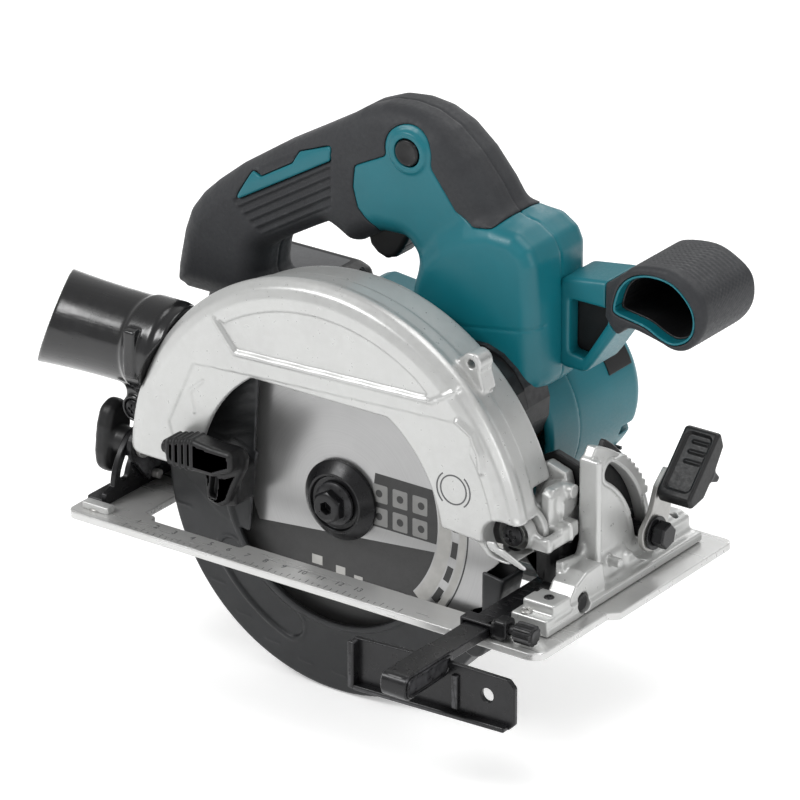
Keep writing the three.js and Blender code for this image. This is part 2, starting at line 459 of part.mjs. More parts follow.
// ---- housings ----
const motorOutline = (grow = 0) => belt(
  { u: SHAFT.x, v: SHAFT.z, r: MOTOR.backR + grow }, { u: MOTOR.frontX, v: MOTOR.frontZ, r: MOTOR.frontR + grow }, 12);
function motorHousing() {
  const { y0, y1, wall } = MOTOR;
  const outer = alongY(motorOutline(), y0 - 6, y1, { bevel: 6, rounds: 2 });
  const inner = alongY(motorOutline(-wall), y0 - 10, y1 - wall - 1);
  const shell = cut(outer, inner, box(-60, 120, 0, y0, -20, 120));
  const seatEnd = onShaft(ring(8.2, 11, 66, y1 - 2), 18);
  const vents = Array.from({ length: 5 }, (_, i) => box(10 + i * 11, 15 + i * 11, y1 - 8, y1 + 2, 34, 62));
  const sideVents = Array.from({ length: 5 }, (_, i) => box(-20, -5, 36 + i * 8, 40 + i * 8, 32, 50));
  const endPlate = cut(onShaft(ring(10.8, 24.6, 78.6, 81.5), 20), box(-60, 0.1, 70, 90, 0, 90));
  return union(cut(shell, ...vents, ...sideVents), seatEnd, endPlate);
}
// Pieces that point straight out from the arbor, at the shaft lock's angle and place.
const LOCK_PIN = { angle: 128, y: -6.8, inner: 10.3, pad: 23.8, out: 29.5 };
const outFromArbor = (profile, sides) => toSolid(lathe(profile, sides).rotateX(Math.PI / 2)
  .rotateY((90 - LOCK_PIN.angle) * deg).translate(ARBOR.x, LOCK_PIN.y, ARBOR.z));
function gearHousing() {
  const web = belt({ u: ARBOR.x, v: ARBOR.z, r: 21.2 }, { u: 50, v: 74, r: 26 }, 10);
  const pocket = belt({ u: ARBOR.x, v: ARBOR.z, r: 19 }, { u: SHAFT.x, v: SHAFT.z, r: 10 }, 10);
  const plate = alongY(web, -4, 11.8);
  const slab = alongY(belt({ u: ARBOR.x + 2, v: ARBOR.z, r: 17.5 }, { u: 52, v: 74, r: 24 }, 10), CASE.inn + GAP, -3.9);
  const boss = onArbor(rod(20.2, -20.6, -3.9), 28);
  const motorSeat = onShaft(rod(20, 11, 19), 24);
  return cut(union(plate, slab, boss, motorSeat),
    alongY(pocket, -1, 8),
    onArbor(rod(8.8, -22, 12), 18), onArbor(rod(13.3, -22, -9.8), 20), onArbor(rod(8.5, 7.9, 13), 18),
    onShaft(rod(8.3, 13.9, 20), 18), onShaft(rod(5, 0, 16), 14), onShaft(rod(21.5, 19.1, 30), 18),
    alongY(belt({ u: 50, v: 72, r: 18 }, { u: 54, v: 80, r: 16 }, 8), -1, 12.5),
    outFromArbor(rod(2.5, 7, 24), 12), outFromArbor(rod(5, 20.2, 40), 14));
}
add('motor_housing', motorHousing(), looks.teal);
add('gear_housing', gearHousing(), looks.black);

// ---- D handle and the column below its front, in two halves ----
const parting = GRIP.y;
const handleArch = [
  [-117.5, 82], [-116.5, 92], [-113.1, 108.6], ...arc(-93, 114.5, 20, 160, 125, 3), [-83.2, 143.7], [-65, 155.7],
  [-48.7, 165.1], [-31.5, 175.2], [-19, 184], [-7.9, 188.1], [3, 189.3], [14, 188], [26, 183], [36, 174.5],
  [46, 163], [54, 151.5], [64, 150], [72.5, 145], [75, 139], [75, 80], [14, 80],
  [13.5, 107.8], [12.1, 118.2], [9.4, 125.6], [5, 131.5], [-18.5, 124], [-24.2, 123], [-30.6, 126.6],
  [-36.5, 129.2], [-45.1, 124.5], [-57.8, 117.2], [-72.2, 109.5], [-71.2, 82],
];
const handleBar = [[-112, 81.6], [16, 81.6], [16, 98], [4, 92.5], [-66, 92.5], [-78, 98], [-112, 98]];
const columnOuter = [[12, 112], [22, 132], [52, 151], [64, 149.5], [72.5, 144.5], [75, 138.5], [75, 80], [14, 80]];
const rubberEdge = [
  [-125, 75], [-125, 200], [52, 200], [52, 163], [45, 158], [33, 169], [19, 177.5], [5, 181.5], [-10, 178],
  [-22, 168], [-28.5, 158], [-28, 134], [-33, 126], [-60, 112], [-60, 75],
];
const ACROSS = { near: parting - GRIP.half, far: parting + GRIP.half };
const skin = 2.4;

const triggerOutline = [
  [-18.5, 127.5], [-17.2, 122.5], [-13.5, 119.2], [-8.8, 117.6], [-4.2, 119.2], [-0.5, 123.6], [2, 128.6],
  [6, 132.5], [9.5, 135], [9.5, 138.5], [5, 140], [-16.5, 136],
];
const triggerSlot = [[-19.5, 110], [-19.5, 140], [4, 143], [11, 140], [11, 128], [6, 110]];
const TRIGGER_PIN = [6, 136.3];
const LOCK = { x: 8.7, z: 172.5, r: 5.8 };
const clearOfMotor = alongY(motorOutline(GAP), 5, 60);
const clearOfGears = alongY(belt({ u: ARBOR.x, v: ARBOR.z, r: 21.2 + GAP }, { u: 50, v: 74, r: 26 + GAP }, 10), -6, 12.5);
const gripBody = () => alongY(handleArch, ACROSS.near, ACROSS.far, { bevel: GRIP.round - 2, rounds: 2 });
const gripCore = (inset) => alongY(inward(handleArch, inset), ACROSS.near + inset, ACROSS.far - inset,
  { bevel: GRIP.round - 2 - inset, rounds: 2 });

function handleShell() {
  const column = alongY(columnOuter, parting - GRIP.columnHalf, parting + GRIP.columnHalf, { bevel: 6, rounds: 2 });
  const rubberZone = alongY(rubberEdge, -10, 50);
  const bar = alongY(handleBar, parting - 12, parting + 12, { bevel: 2, rounds: 1 });
  const solid = union(cut(gripBody(), rubberZone), gripCore(skin + GAP), column, cut(bar, rubberZone));
  const columnRoom = alongY(columnOuter, parting - GRIP.columnHalf + GRIP.wall, parting + GRIP.columnHalf - GRIP.wall,
    { bevel: 4, inset: GRIP.wall, rounds: 1 });
  const room = union(gripCore(skin + GAP + GRIP.wall), columnRoom);
  return cut(solid, room, clearOfMotor, clearOfGears, alongY(triggerSlot, parting - 9, parting + 9),
    turnY(rod(LOCK.r + GAP, -20, 60), LOCK.x, LOCK.z, 20), box(71, 80, 24, 36, 88, 128),
    turnY(rod(1.8, parting - 11.3, parting + 11.3), ...TRIGGER_PIN, 10));
}
const nearSide = box(-200, 200, -50, parting - GAP / 2, 0, 300);
const farSide = box(-200, 200, parting + GAP / 2, 120, 0, 300);
const handle = handleShell();
const rubber = cut(gripBody().intersect(alongY(rubberEdge, -10, 50, { bevel: 0.2, inset: GAP })), gripCore(skin));
add('handle_right', handle.intersect(nearSide), looks.teal);
add('handle_left', handle.intersect(farSide), looks.teal);
add('grip_rubber_right', rubber.intersect(nearSide), looks.rubber);
add('grip_rubber_left', rubber.intersect(farSide), looks.rubber);

add('trigger', cut(alongY(triggerOutline, parting - 7.5, parting + 7.5, { bevel: 1.5, rounds: 1 }),
  turnY(rod(1.9, 0, 50), ...TRIGGER_PIN, 10)), looks.black);
add('trigger_pin', turnY(rod(1.5, parting - 11, parting + 11), ...TRIGGER_PIN, 10), looks.steel);
add('switch_unit', union(
  box(-34, 4, parting - 9, parting + 9, 143.5, 160), box(-14, -8, parting - 4, parting + 4, 140.8, 144),
), looks.black);
const lockReach = GRIP.half + 1.6;
add('lock_off_button', turnY(rod(LOCK.r, parting - lockReach, parting + lockReach), LOCK.x, LOCK.z, 20), looks.black);

// ---- front grip: a hollow tube on a bracket, with a rubber sleeve round it ----
const knobBore = smooth([
  [104.6, 124.4], [108.3, 132.3], [116, 137.9], [125.5, 139.6], [136.5, 135], [141.9, 127], [138.6, 116.8],
  [130, 113.3], [119.6, 117.8], [109, 119.6],
], 26);
const sleeveOutline = smooth([
  [103, 113.8], [102.2, 122], [105.5, 135], [114.8, 142.6], [129.1, 144.4], [141, 140], [148, 131], [147.2, 121],
  [140, 111.8], [131, 109.6], [121, 112.6], [110, 115],
], 28);
function frontKnob() {
  const tube = alongY(knobBore, KNOB.y0, KNOB.y1, { bevel: 0.5, inset: -2.4, rounds: 1 });
  const bracket = alongY([[75.3, 88], [90, 88], [104, 112], [108, 121], [106, 131], [92, 130], [75.3, 128]],
    KNOB.y0 + 4, KNOB.y0 + 24, { holes: [[[81, 94], [88, 94], [99, 113], [99, 119], [81, 119]]], bevel: 1.5, rounds: 1 });
  const stem = box(72, 77, 24.5, 35.5, 95, 127);
  return cut(union(tube, bracket, stem), alongY(knobBore, KNOB.y0 - 2, KNOB.y1 + 2));
}
const knob = frontKnob();
const sleeveRoom = union(
  alongY(knobBore, KNOB.y0 - 2, KNOB.y1 + 2, { bevel: 0.5, inset: -2.4 - GAP, rounds: 1 }),
  alongY([[70, 80], [90, 80], [106, 112], [110, 121], [108, 133], [92, 132], [70, 130]], KNOB.y0 - 2, KNOB.y0 + 24.5));
add('front_knob', knob, looks.teal);
add('knob_rubber', cut(alongY(sleeveOutline, KNOB.y0 + 1, KNOB.y1 - 1, { bevel: 2, rounds: 2 }), sleeveRoom), looks.rubber);

// ---- battery, the bay that it slides into, and the electronics ----
const BAY = { x0: -98, x1: -13, y0: 21, y1: 30, z0: 16, z1: 81.2 };
const railZ = (BATTERY.z0 + BATTERY.z1) / 2 - 4;
function batteryBay() {
  const plate = box(BAY.x0, BAY.x1, BAY.y0, BAY.y0 + 3, BAY.z0, BAY.z1);
  const roof = alongY([[-57, 62.5], [-57, 74], ...arc(-50, 74, 7, 175, 95, 3), [-30, 79], [BAY.x1, 73], [BAY.x1, 62.5]],
    BAY.y0, BATTERY.y1 - 6, { bevel: 1.5, rounds: 1 });
  const roofRoom = alongY([[-53, 60], [-53, 73], [-49, 77], [-31, 75.5], [-17, 70.5], [-17, 60]], BAY.y0 + 3, BATTERY.y1 - 10);
  const rails = [-17, 17].map((z) => box(BAY.x0 + 6, -17, BAY.y0 + 2, BAY.y1, railZ + z - 2.5, railZ + z + 2.5));
  const hooks = [-14.5, 14.5].map((z) => box(BAY.x0 + 6, -17, BAY.y1 - 3, BAY.y1, railZ + z - 2.6, railZ + z + 2.6));
  const front = box(-16, BAY.x1, BAY.y0, 80, BAY.z0 + 8, 66);
  return union(plate, cut(roof, roofRoom), ...rails, ...hooks, front);
}
add('battery_bay', batteryBay(), looks.teal);
function batteryCase() {
  const { x0, x1, y0, y1, z0, z1, hump } = BATTERY;
  const side = [
    [x0, z0 + 14], [x0 + 3, z0 + 3], [x0 + 10, z0], [x1 - 6, z0], [x1 - 1.5, z0 + 5], [x1 - 1.5, 57], [x1 - 4, 61],
    [hump + 3, 61.5], [hump, 66], [hump - 4, z1 - 2], [hump - 10, z1], [x0 + 12, z1], [x0 + 3, z1 - 8], [x0, z1 - 20],
  ];
  const body = alongY(side, y0, y1, { bevel: 4, rounds: 2 });
  const neck = box(BAY.x0 + 8, -20, BAY.y1 - 5.8, y0 + 5, railZ - 11.4, railZ + 11.4);
  const lips = box(BAY.x0 + 8, -20, BAY.y1 - 5.8, BAY.y1 - 3.4, railZ - 13.6, railZ + 13.6);
  const shelf = box(BAY.x0 - 4, -18, BAY.y1 + GAP, y0 + 5, railZ - 21, railZ + 21);
  const button = box(x0 - 2, x0 + 9, 52, 70, 46, 70);
  return cut(union(body, neck, lips, shelf), button, box(-60, -16, BAY.y1 - 7, y0 + 1, railZ - 9, railZ + 9));
}
add('battery_case', batteryCase(), looks.black);
add('battery_release_button', alongY(roundRect(BATTERY.x0 - 0.6, BATTERY.x0 + 8.4, 46.6, 66, 1.5, 2), 52.5, 69.5), looks.rubber);
add('terminal_block', box(-52, -21, BAY.y0 + 3.3, BAY.y1 - 1, railZ - 7, railZ + 7), looks.black);
add('controller_board', box(-90, -40, parting - 4, parting - 2.2, 58, 78), looks.board);

// ---- depth clamp and shaft lock ----
add('depth_clamp_bolt', union(turnY([[0, -18.6], [6, -18.6], [6, -16.2], [2.9, -16.2], [2.9, -5], [0, -5]], ...DEPTH_BOLT, 12),
  turnY(rod(2.9, -6, 5), ...DEPTH_BOLT, 12)), looks.steel);
const depthLever = turned([...arc(0, 0, 8, 60, 300, 8), [26, -6], [52, -7], [62, -6], [64, 0], [62, 6], [52, 6], [26, 5]],
  161, ...DEPTH_BOLT);
add('depth_lever', cut(union(alongY(depthLever, -3.5, 2.5, { bevel: 1, rounds: 1 }), turnY(rod(6, -6.7, 2), ...DEPTH_BOLT, 14)),
  turnY(rod(3.2, -8, 6), ...DEPTH_BOLT, 12)), looks.black);
add('shaft_lock_button', outFromArbor([[0, LOCK_PIN.inner], [2.2, LOCK_PIN.inner], [2.2, LOCK_PIN.pad],
  [4.6, LOCK_PIN.pad], [4.6, LOCK_PIN.out - 1], [3.8, LOCK_PIN.out], [0, LOCK_PIN.out]], 14), looks.black);
add('lamp', alongX(circle(-8, 52, 2.6, 12), 66, 72), looks.lens);

export default saw;
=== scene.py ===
"""Looks of the cordless circular saw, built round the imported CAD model.

Frame: +X is the cutting direction, +Y the motor side, +Z up. Shapes are worked out in millimetres and
written to Blender in metres. Moulded and cast pieces are drawn as signed distances on a grid of points
(negative inside), where pieces join with soft fillets, and the surface is then taken off that grid.
"""

import json
import math

import bmesh
import bpy
import numpy as np
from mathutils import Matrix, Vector
from mathutils.geometry import tessellate_polygon


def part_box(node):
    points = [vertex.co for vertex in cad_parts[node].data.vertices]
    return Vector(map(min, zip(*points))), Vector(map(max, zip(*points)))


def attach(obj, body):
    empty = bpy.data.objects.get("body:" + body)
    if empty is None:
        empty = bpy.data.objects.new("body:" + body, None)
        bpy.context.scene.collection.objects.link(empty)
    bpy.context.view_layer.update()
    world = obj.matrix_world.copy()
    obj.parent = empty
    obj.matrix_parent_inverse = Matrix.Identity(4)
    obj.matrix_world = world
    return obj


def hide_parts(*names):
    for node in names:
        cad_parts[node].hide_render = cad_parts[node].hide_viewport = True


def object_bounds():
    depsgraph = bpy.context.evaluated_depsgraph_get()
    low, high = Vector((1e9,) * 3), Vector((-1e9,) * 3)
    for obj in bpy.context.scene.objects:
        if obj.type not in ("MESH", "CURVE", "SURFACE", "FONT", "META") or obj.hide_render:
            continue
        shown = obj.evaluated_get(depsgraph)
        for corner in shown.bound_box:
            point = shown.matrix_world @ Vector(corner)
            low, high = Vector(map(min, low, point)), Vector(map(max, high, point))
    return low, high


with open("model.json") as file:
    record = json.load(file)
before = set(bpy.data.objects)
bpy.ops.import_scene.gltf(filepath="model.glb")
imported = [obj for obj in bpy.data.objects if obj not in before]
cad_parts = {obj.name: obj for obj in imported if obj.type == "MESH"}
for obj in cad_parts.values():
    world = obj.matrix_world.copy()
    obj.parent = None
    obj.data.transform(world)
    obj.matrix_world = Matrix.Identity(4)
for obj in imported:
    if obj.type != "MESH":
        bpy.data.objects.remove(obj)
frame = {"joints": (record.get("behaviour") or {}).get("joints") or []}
cad_box = [list(corner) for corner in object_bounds()]

MM = 0.001
JOINTS = {joint["name"]: joint for joint in frame["joints"]}


def low(node):
    return np.array(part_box(node)[0]) / MM


def high(node):
    return np.array(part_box(node)[1]) / MM


def axis_of(joint):
    return np.array(JOINTS[joint]["pos_m"]) / MM


# ---- places that everything is set out from ----
ARBOR = axis_of("blade_spin")[[0, 2]]
SHAFT = axis_of("motor_spin")[[0, 2]]
BEVEL = axis_of("bevel")[[1, 2]]
DEPTH = axis_of("cutting_depth")[[0, 2]]
BOLT = axis_of("bevel_lever_turn")[[1, 2]]
REAR_BOLT = axis_of("rear_clamp_turn")[[1, 2]]
DEPTH_BOLT = axis_of("depth_lever_turn")[[0, 2]]
LOCK = (low("lock_off_button") + high("lock_off_button"))[[0, 2]] / 2
PARTING = (low("handle_right")[1] + high("handle_left")[1]) / 2
NEAR, FAR = low("grip_rubber_right")[1], high("grip_rubber_left")[1]
CASE_OUT, CASE_IN = low("blade_case")[1], high("blade_case")[1]
BLADE_Y = (low("blade")[1] + high("blade")[1]) / 2
BLADE_R = high("blade")[0] - ARBOR[0]


# ---- outlines: lists of [u, v] points in millimetres ----
def arc(u, v, r, start, end, steps=12):
    angles = np.radians(np.linspace(start, end, steps + 1))
    return [[u + r * math.cos(a), v + r * math.sin(a)] for a in angles]


def circle(u, v, r, sides=64):
    return arc(u, v, r, 0, 360 * (1 - 1 / sides), sides - 1)


def rect(u0, u1, v0, v1):
    return [[u0, v0], [u1, v0], [u1, v1], [u0, v1]]


def band(u, v, inner, outer, start, end, steps=40):
    return arc(u, v, outer, start, end, steps) + arc(u, v, inner, end, start, steps)


def belt(a, b, steps=24):
    """The outline round two circles (u, v, r), as a belt would lie."""
    along = math.degrees(math.atan2(b[1] - a[1], b[0] - a[0]))
    lean = math.degrees(math.acos((a[2] - b[2]) / math.hypot(b[0] - a[0], b[1] - a[1])))
    return arc(*b, along - lean, along + lean, steps) + arc(*a, along + lean, along + 360 - lean, steps)


def slot_arc(u, v, r, half, start, end, steps=24):
    """A slot with round ends that follows a circle."""
    first = [u + r * math.cos(math.radians(start)), v + r * math.sin(math.radians(start))]
    last = [u + r * math.cos(math.radians(end)), v + r * math.sin(math.radians(end))]
    return (arc(u, v, r + half, start, end, steps) + arc(*last, half, end, end + 180, 8)[1:-1]
            + arc(u, v, r - half, end, start, steps) + arc(*first, half, start + 180, start + 360, 8)[1:-1])


def soft(points, r, steps=5):
    """The same closed outline with its corners rounded to radius r, or less where an edge is short."""
    made = []
    points = [np.array(p, float) for p in points]
    for i, corner in enumerate(points):
        back, ahead = points[i - 1] - corner, points[(i + 1) % len(points)] - corner
        lengths = np.linalg.norm(back), np.linalg.norm(ahead)
        back, ahead = back / lengths[0], ahead / lengths[1]
        half = math.acos(np.clip(back @ ahead, -1, 1)) / 2
        if half > math.radians(86):
            made.append(corner)
            continue
        reach = min(r / math.tan(half), 0.45 * min(lengths))
        first, last = corner + back * reach, corner + ahead * reach
        for t in np.linspace(0, 1, steps + 1):
            made.append((1 - t) ** 2 * first + 2 * t * (1 - t) * corner + t ** 2 * last)
    return [list(p) for p in made]


def turned(points, angle, u, v):
    c, s = math.cos(math.radians(angle)), math.sin(math.radians(angle))
    return [[u + a * c - b * s, v + a * s + b * c] for a, b in points]


def smooth_run(points, steps=8, closed=True):
    """A Catmull-Rom run through the points."""
    made, n = [], len(points)
    p = np.array(points, float)
    for i in range(n if closed else n - 1):
        a, b, c, d = (p[(i + k) % n] if closed else p[min(max(i + k, 0), n - 1)] for k in (-1, 0, 1, 2))
        for t in np.linspace(0, 1, steps, endpoint=False):
            made.append(list(0.5 * (2 * b + (c - a) * t + (2 * a - 5 * b + 4 * c - d) * t ** 2
                                    + (3 * b - a - 3 * c + d) * t ** 3)))
    return made if closed else made + [list(p[-1])]


# ---- signed distances ----
def outline_distance(points, u, v):
    """Distance from each place (u, v) to a closed outline, negative inside it."""
    nearest = np.full(np.broadcast(u, v).shape, 1e9, np.float32)
    inside = np.zeros(nearest.shape, bool)
    for i, (au, av) in enumerate(points):
        bu, bv = points[(i + 1) % len(points)]
        eu, ev = bu - au, bv - av
        if eu * eu + ev * ev < 1e-12:
            continue
        t = np.clip(((u - au) * eu + (v - av) * ev) / (eu * eu + ev * ev), 0, 1)
        nearest = np.minimum(nearest, (u - au - t * eu) ** 2 + (v - av - t * ev) ** 2)
        if ev != 0:
            crosses = ((av <= v) & (v < bv)) | ((bv <= v) & (v < av))
            inside ^= crosses & (u < au + (v - av) * eu / ev)
    nearest = np.sqrt(nearest)
    return np.where(inside, -nearest, nearest).astype(np.float32)


def line_distance(points, u, v):
    """Distance from each place (u, v) to an open line."""
    nearest = np.full(np.broadcast(u, v).shape, 1e9, np.float32)
    for (au, av), (bu, bv) in zip(points, points[1:]):
        eu, ev = bu - au, bv - av
        t = np.clip(((u - au) * eu + (v - av) * ev) / (eu * eu + ev * ev), 0, 1)
        nearest = np.minimum(nearest, (u - au - t * eu) ** 2 + (v - av - t * ev) ** 2)
    return np.sqrt(nearest)


def meet(a, b, r=0.0):
    """What both hold, with the edge between them rounded to r."""
    if r <= 0:
        return np.maximum(a, b)
    a, b = a + r, b + r
    return np.minimum(np.maximum(a, b), 0) + np.hypot(np.maximum(a, 0), np.maximum(b, 0)) - r


def join(a, b, r=0.0):
    """What either holds, with a fillet of about r where they touch."""
    if r <= 0:
        return np.minimum(a, b)
    h = np.clip(r - np.abs(a - b), 0, None) / r
    return np.minimum(a, b) - h * h * r * 0.25


def cut(a, b, r=0.0):
    """The first without the second, with a rounded edge of about r."""
    return -join(-a, b, r)


def ridge(distance, width):
    """1 on a line, falling smoothly to 0 at a width from it."""
    t = np.clip(1 - np.abs(distance) / width, 0, 1)
    return t * t * (3 - 2 * t)


def step_up(distance, width):
    """0 below, 1 above, with a smooth rise of that width about 0."""
    t = np.clip(distance / width + 0.5, 0, 1)
    return t * t * (3 - 2 * t)


class Space:
    """A grid of points in a box, in millimetres. Its shapes are arrays of signed distances."""

    def __init__(self, lowest, highest, pitch):
        self.pitch = pitch
        self.low = np.array(lowest, float) - 3 * pitch
        counts = np.ceil((np.array(highest, float) - self.low) / pitch).astype(int) + 4
        self.lines = [(self.low[k] + pitch * np.arange(counts[k])).astype(np.float32) for k in range(3)]
        self.x = self.lines[0][:, None, None]
        self.y = self.lines[1][None, :, None]
        self.z = self.lines[2][None, None, :]

    def flat(self, axis, outline, offset=0.0):
        """Distance to an outline in the plane across an axis, ready to be joined with the rest."""
        u, v = [k for k in range(3) if k != axis]
        distance = outline_distance(outline, self.lines[u][:, None], self.lines[v][None, :])
        return np.expand_dims(distance + offset, axis)

    def line(self, axis, points):
        u, v = [k for k in range(3) if k != axis]
        distance = line_distance(points, self.lines[u][:, None], self.lines[v][None, :])
        return np.expand_dims(distance, axis)

    def between(self, axis, a, b):
        place = (self.x, self.y, self.z)[axis]
        return np.abs(place - (a + b) / 2) - abs(b - a) / 2

    def sweep(self, axis, outline, a, b, r=0.0, offset=0.0):
        """An outline swept from a to b along an axis, with its end edges rounded to r."""
        return meet(self.flat(axis, outline, offset), self.between(axis, a, b), r)

    def block(self, x0, x1, y0, y1, z0, z1, r=0.0):
        return meet(meet(self.between(0, x0, x1), self.between(1, y0, y1), r), self.between(2, z0, z1), r)

    def turn(self, axis, u, v, profile):
        """A profile of [radius, place along the axis] turned about a line through (u, v)."""
        a, b = [k for k in range(3) if k != axis]
        radius = np.hypot(self.lines[a][:, None] - u, self.lines[b][None, :] - v)
        reach = np.arange(0, radius.max() + self.pitch, self.pitch / 2)
        table = outline_distance(profile, reach[:, None], self.lines[axis][None, :])
        place = radius / (self.pitch / 2)
        floor = np.minimum(place.astype(int), len(reach) - 2)
        share = (place - floor)[..., None]
        return np.moveaxis((table[floor] * (1 - share) + table[floor + 1] * share).astype(np.float32), 2,
            axis)

    def rod(self, axis, u, v, r, a, b, edge=0.0):
        p, q = [k for k in range(3) if k != axis]
        radius = np.hypot(self.lines[p][:, None] - u, self.lines[q][None, :] - v)
        return meet(np.expand_dims(radius - r, axis), self.between(axis, a, b), edge)

    def ball(self, x, y, z, r):
        return np.sqrt((self.x - x) ** 2 + (self.y - y) ** 2 + (self.z - z) ** 2) - r

    def mesh(self, name, field, material, body, slot, replaced=()):
        """The surface of a field as a Blender object that rides on a body."""
        field = np.broadcast_to(field, (self.x.size, self.y.size, self.z.size)).astype(np.float32)
        places, faces = surface_net(field)
        places, normals = settle(field, places)
        made = mesh_object(name, self.low + places * self.pitch, faces, material)
        made.data.normals_split_custom_set_from_vertices(normals.tolist())
        return fasten(made, body, replaced)


def surface_net(field):
    """Vertices, in grid units, and quads of the surface where a field is zero."""
    cells = np.array(field.shape) - 1
    strides = np.array([cells[1] * cells[2], cells[2], 1])
    ids, places, quads = [], [], []
    for axis in range(3):
        head, tail = [slice(None)] * 3, [slice(None)] * 3
        head[axis], tail[axis] = slice(None, -1), slice(1, None)
        a, b = field[tuple(head)], field[tuple(tail)]
        cross = np.argwhere((a < 0) != (b < 0))
        at_a, at_b = a[tuple(cross.T)], b[tuple(cross.T)]
        place = cross.astype(float)
        place[:, axis] += at_a / (at_a - at_b)
        u, v = (axis + 1) % 3, (axis + 2) % 3
        ring = []
        for du, dv in ((-1, -1), (0, -1), (0, 0), (-1, 0)):
            cell = cross.copy()
            cell[:, u] += du
            cell[:, v] += dv
            ring.append(cell @ strides)
        ring = np.array(ring).T
        quads.append(np.where((at_a > 0)[:, None], ring[:, ::-1], ring))
        ids.append(ring.ravel())
        places.append(np.repeat(place, 4, axis=0))
    used, index = np.unique(np.concatenate(ids), return_inverse=True)
    places = np.concatenate(places)
    count = np.bincount(index)
    middle = np.array([np.bincount(index, places[:, k]) / count for k in range(3)]).T
    return middle, np.searchsorted(used, np.concatenate(quads))


def sample(field, places):
    """The field between its grid points, by straight interpolation."""
    corner = np.clip(places.astype(int), 0, np.array(field.shape) - 2)
    share = places - corner
    total = np.zeros(len(places))
    for dx in (0, 1):
        for dy in (0, 1):
            for dz in (0, 1):
                weight = (np.abs(1 - dx - share[:, 0]) * np.abs(1 - dy - share[:, 1])
                          * np.abs(1 - dz - share[:, 2]))
                total += weight * field[corner[:, 0] + dx, corner[:, 1] + dy, corner[:, 2] + dz]
    return total


def slope(field, places, reach=0.8):
    steps = np.eye(3) * reach
    return np.array([sample(field, places + s) - sample(field, places - s) for s in steps]).T / (2 * reach)


def settle(field, places):
    """Moves vertices onto the surface, and gives the surface's own normals there."""
    for _ in range(2):
        gradient = slope(field, places)
        length = np.maximum((gradient ** 2).sum(1), 1e-6)
        move = gradient * (sample(field, places) / length)[:, None]
        places = places - np.clip(move, -0.5, 0.5)
    gradient = slope(field, places)
    return places, gradient / np.maximum(np.linalg.norm(gradient, axis=1), 1e-9)[:, None]


# ---- meshes ----
def mesh_object(name, places, faces, material, smooth=True):
    mesh = bpy.data.meshes.new(name)
    mesh.from_pydata((np.array(places) * MM).tolist(), [], [list(f) for f in faces])
    mesh.polygons.foreach_set("use_smooth", [smooth] * len(mesh.polygons))
    made = bpy.data.objects.new(name, mesh)
    bpy.context.scene.collection.objects.link(made)
    mesh.materials.append(material)
    return made


def fasten(piece, body, replaced=()):
    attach(piece, body)
    if replaced:
        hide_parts(*replaced)
    return piece


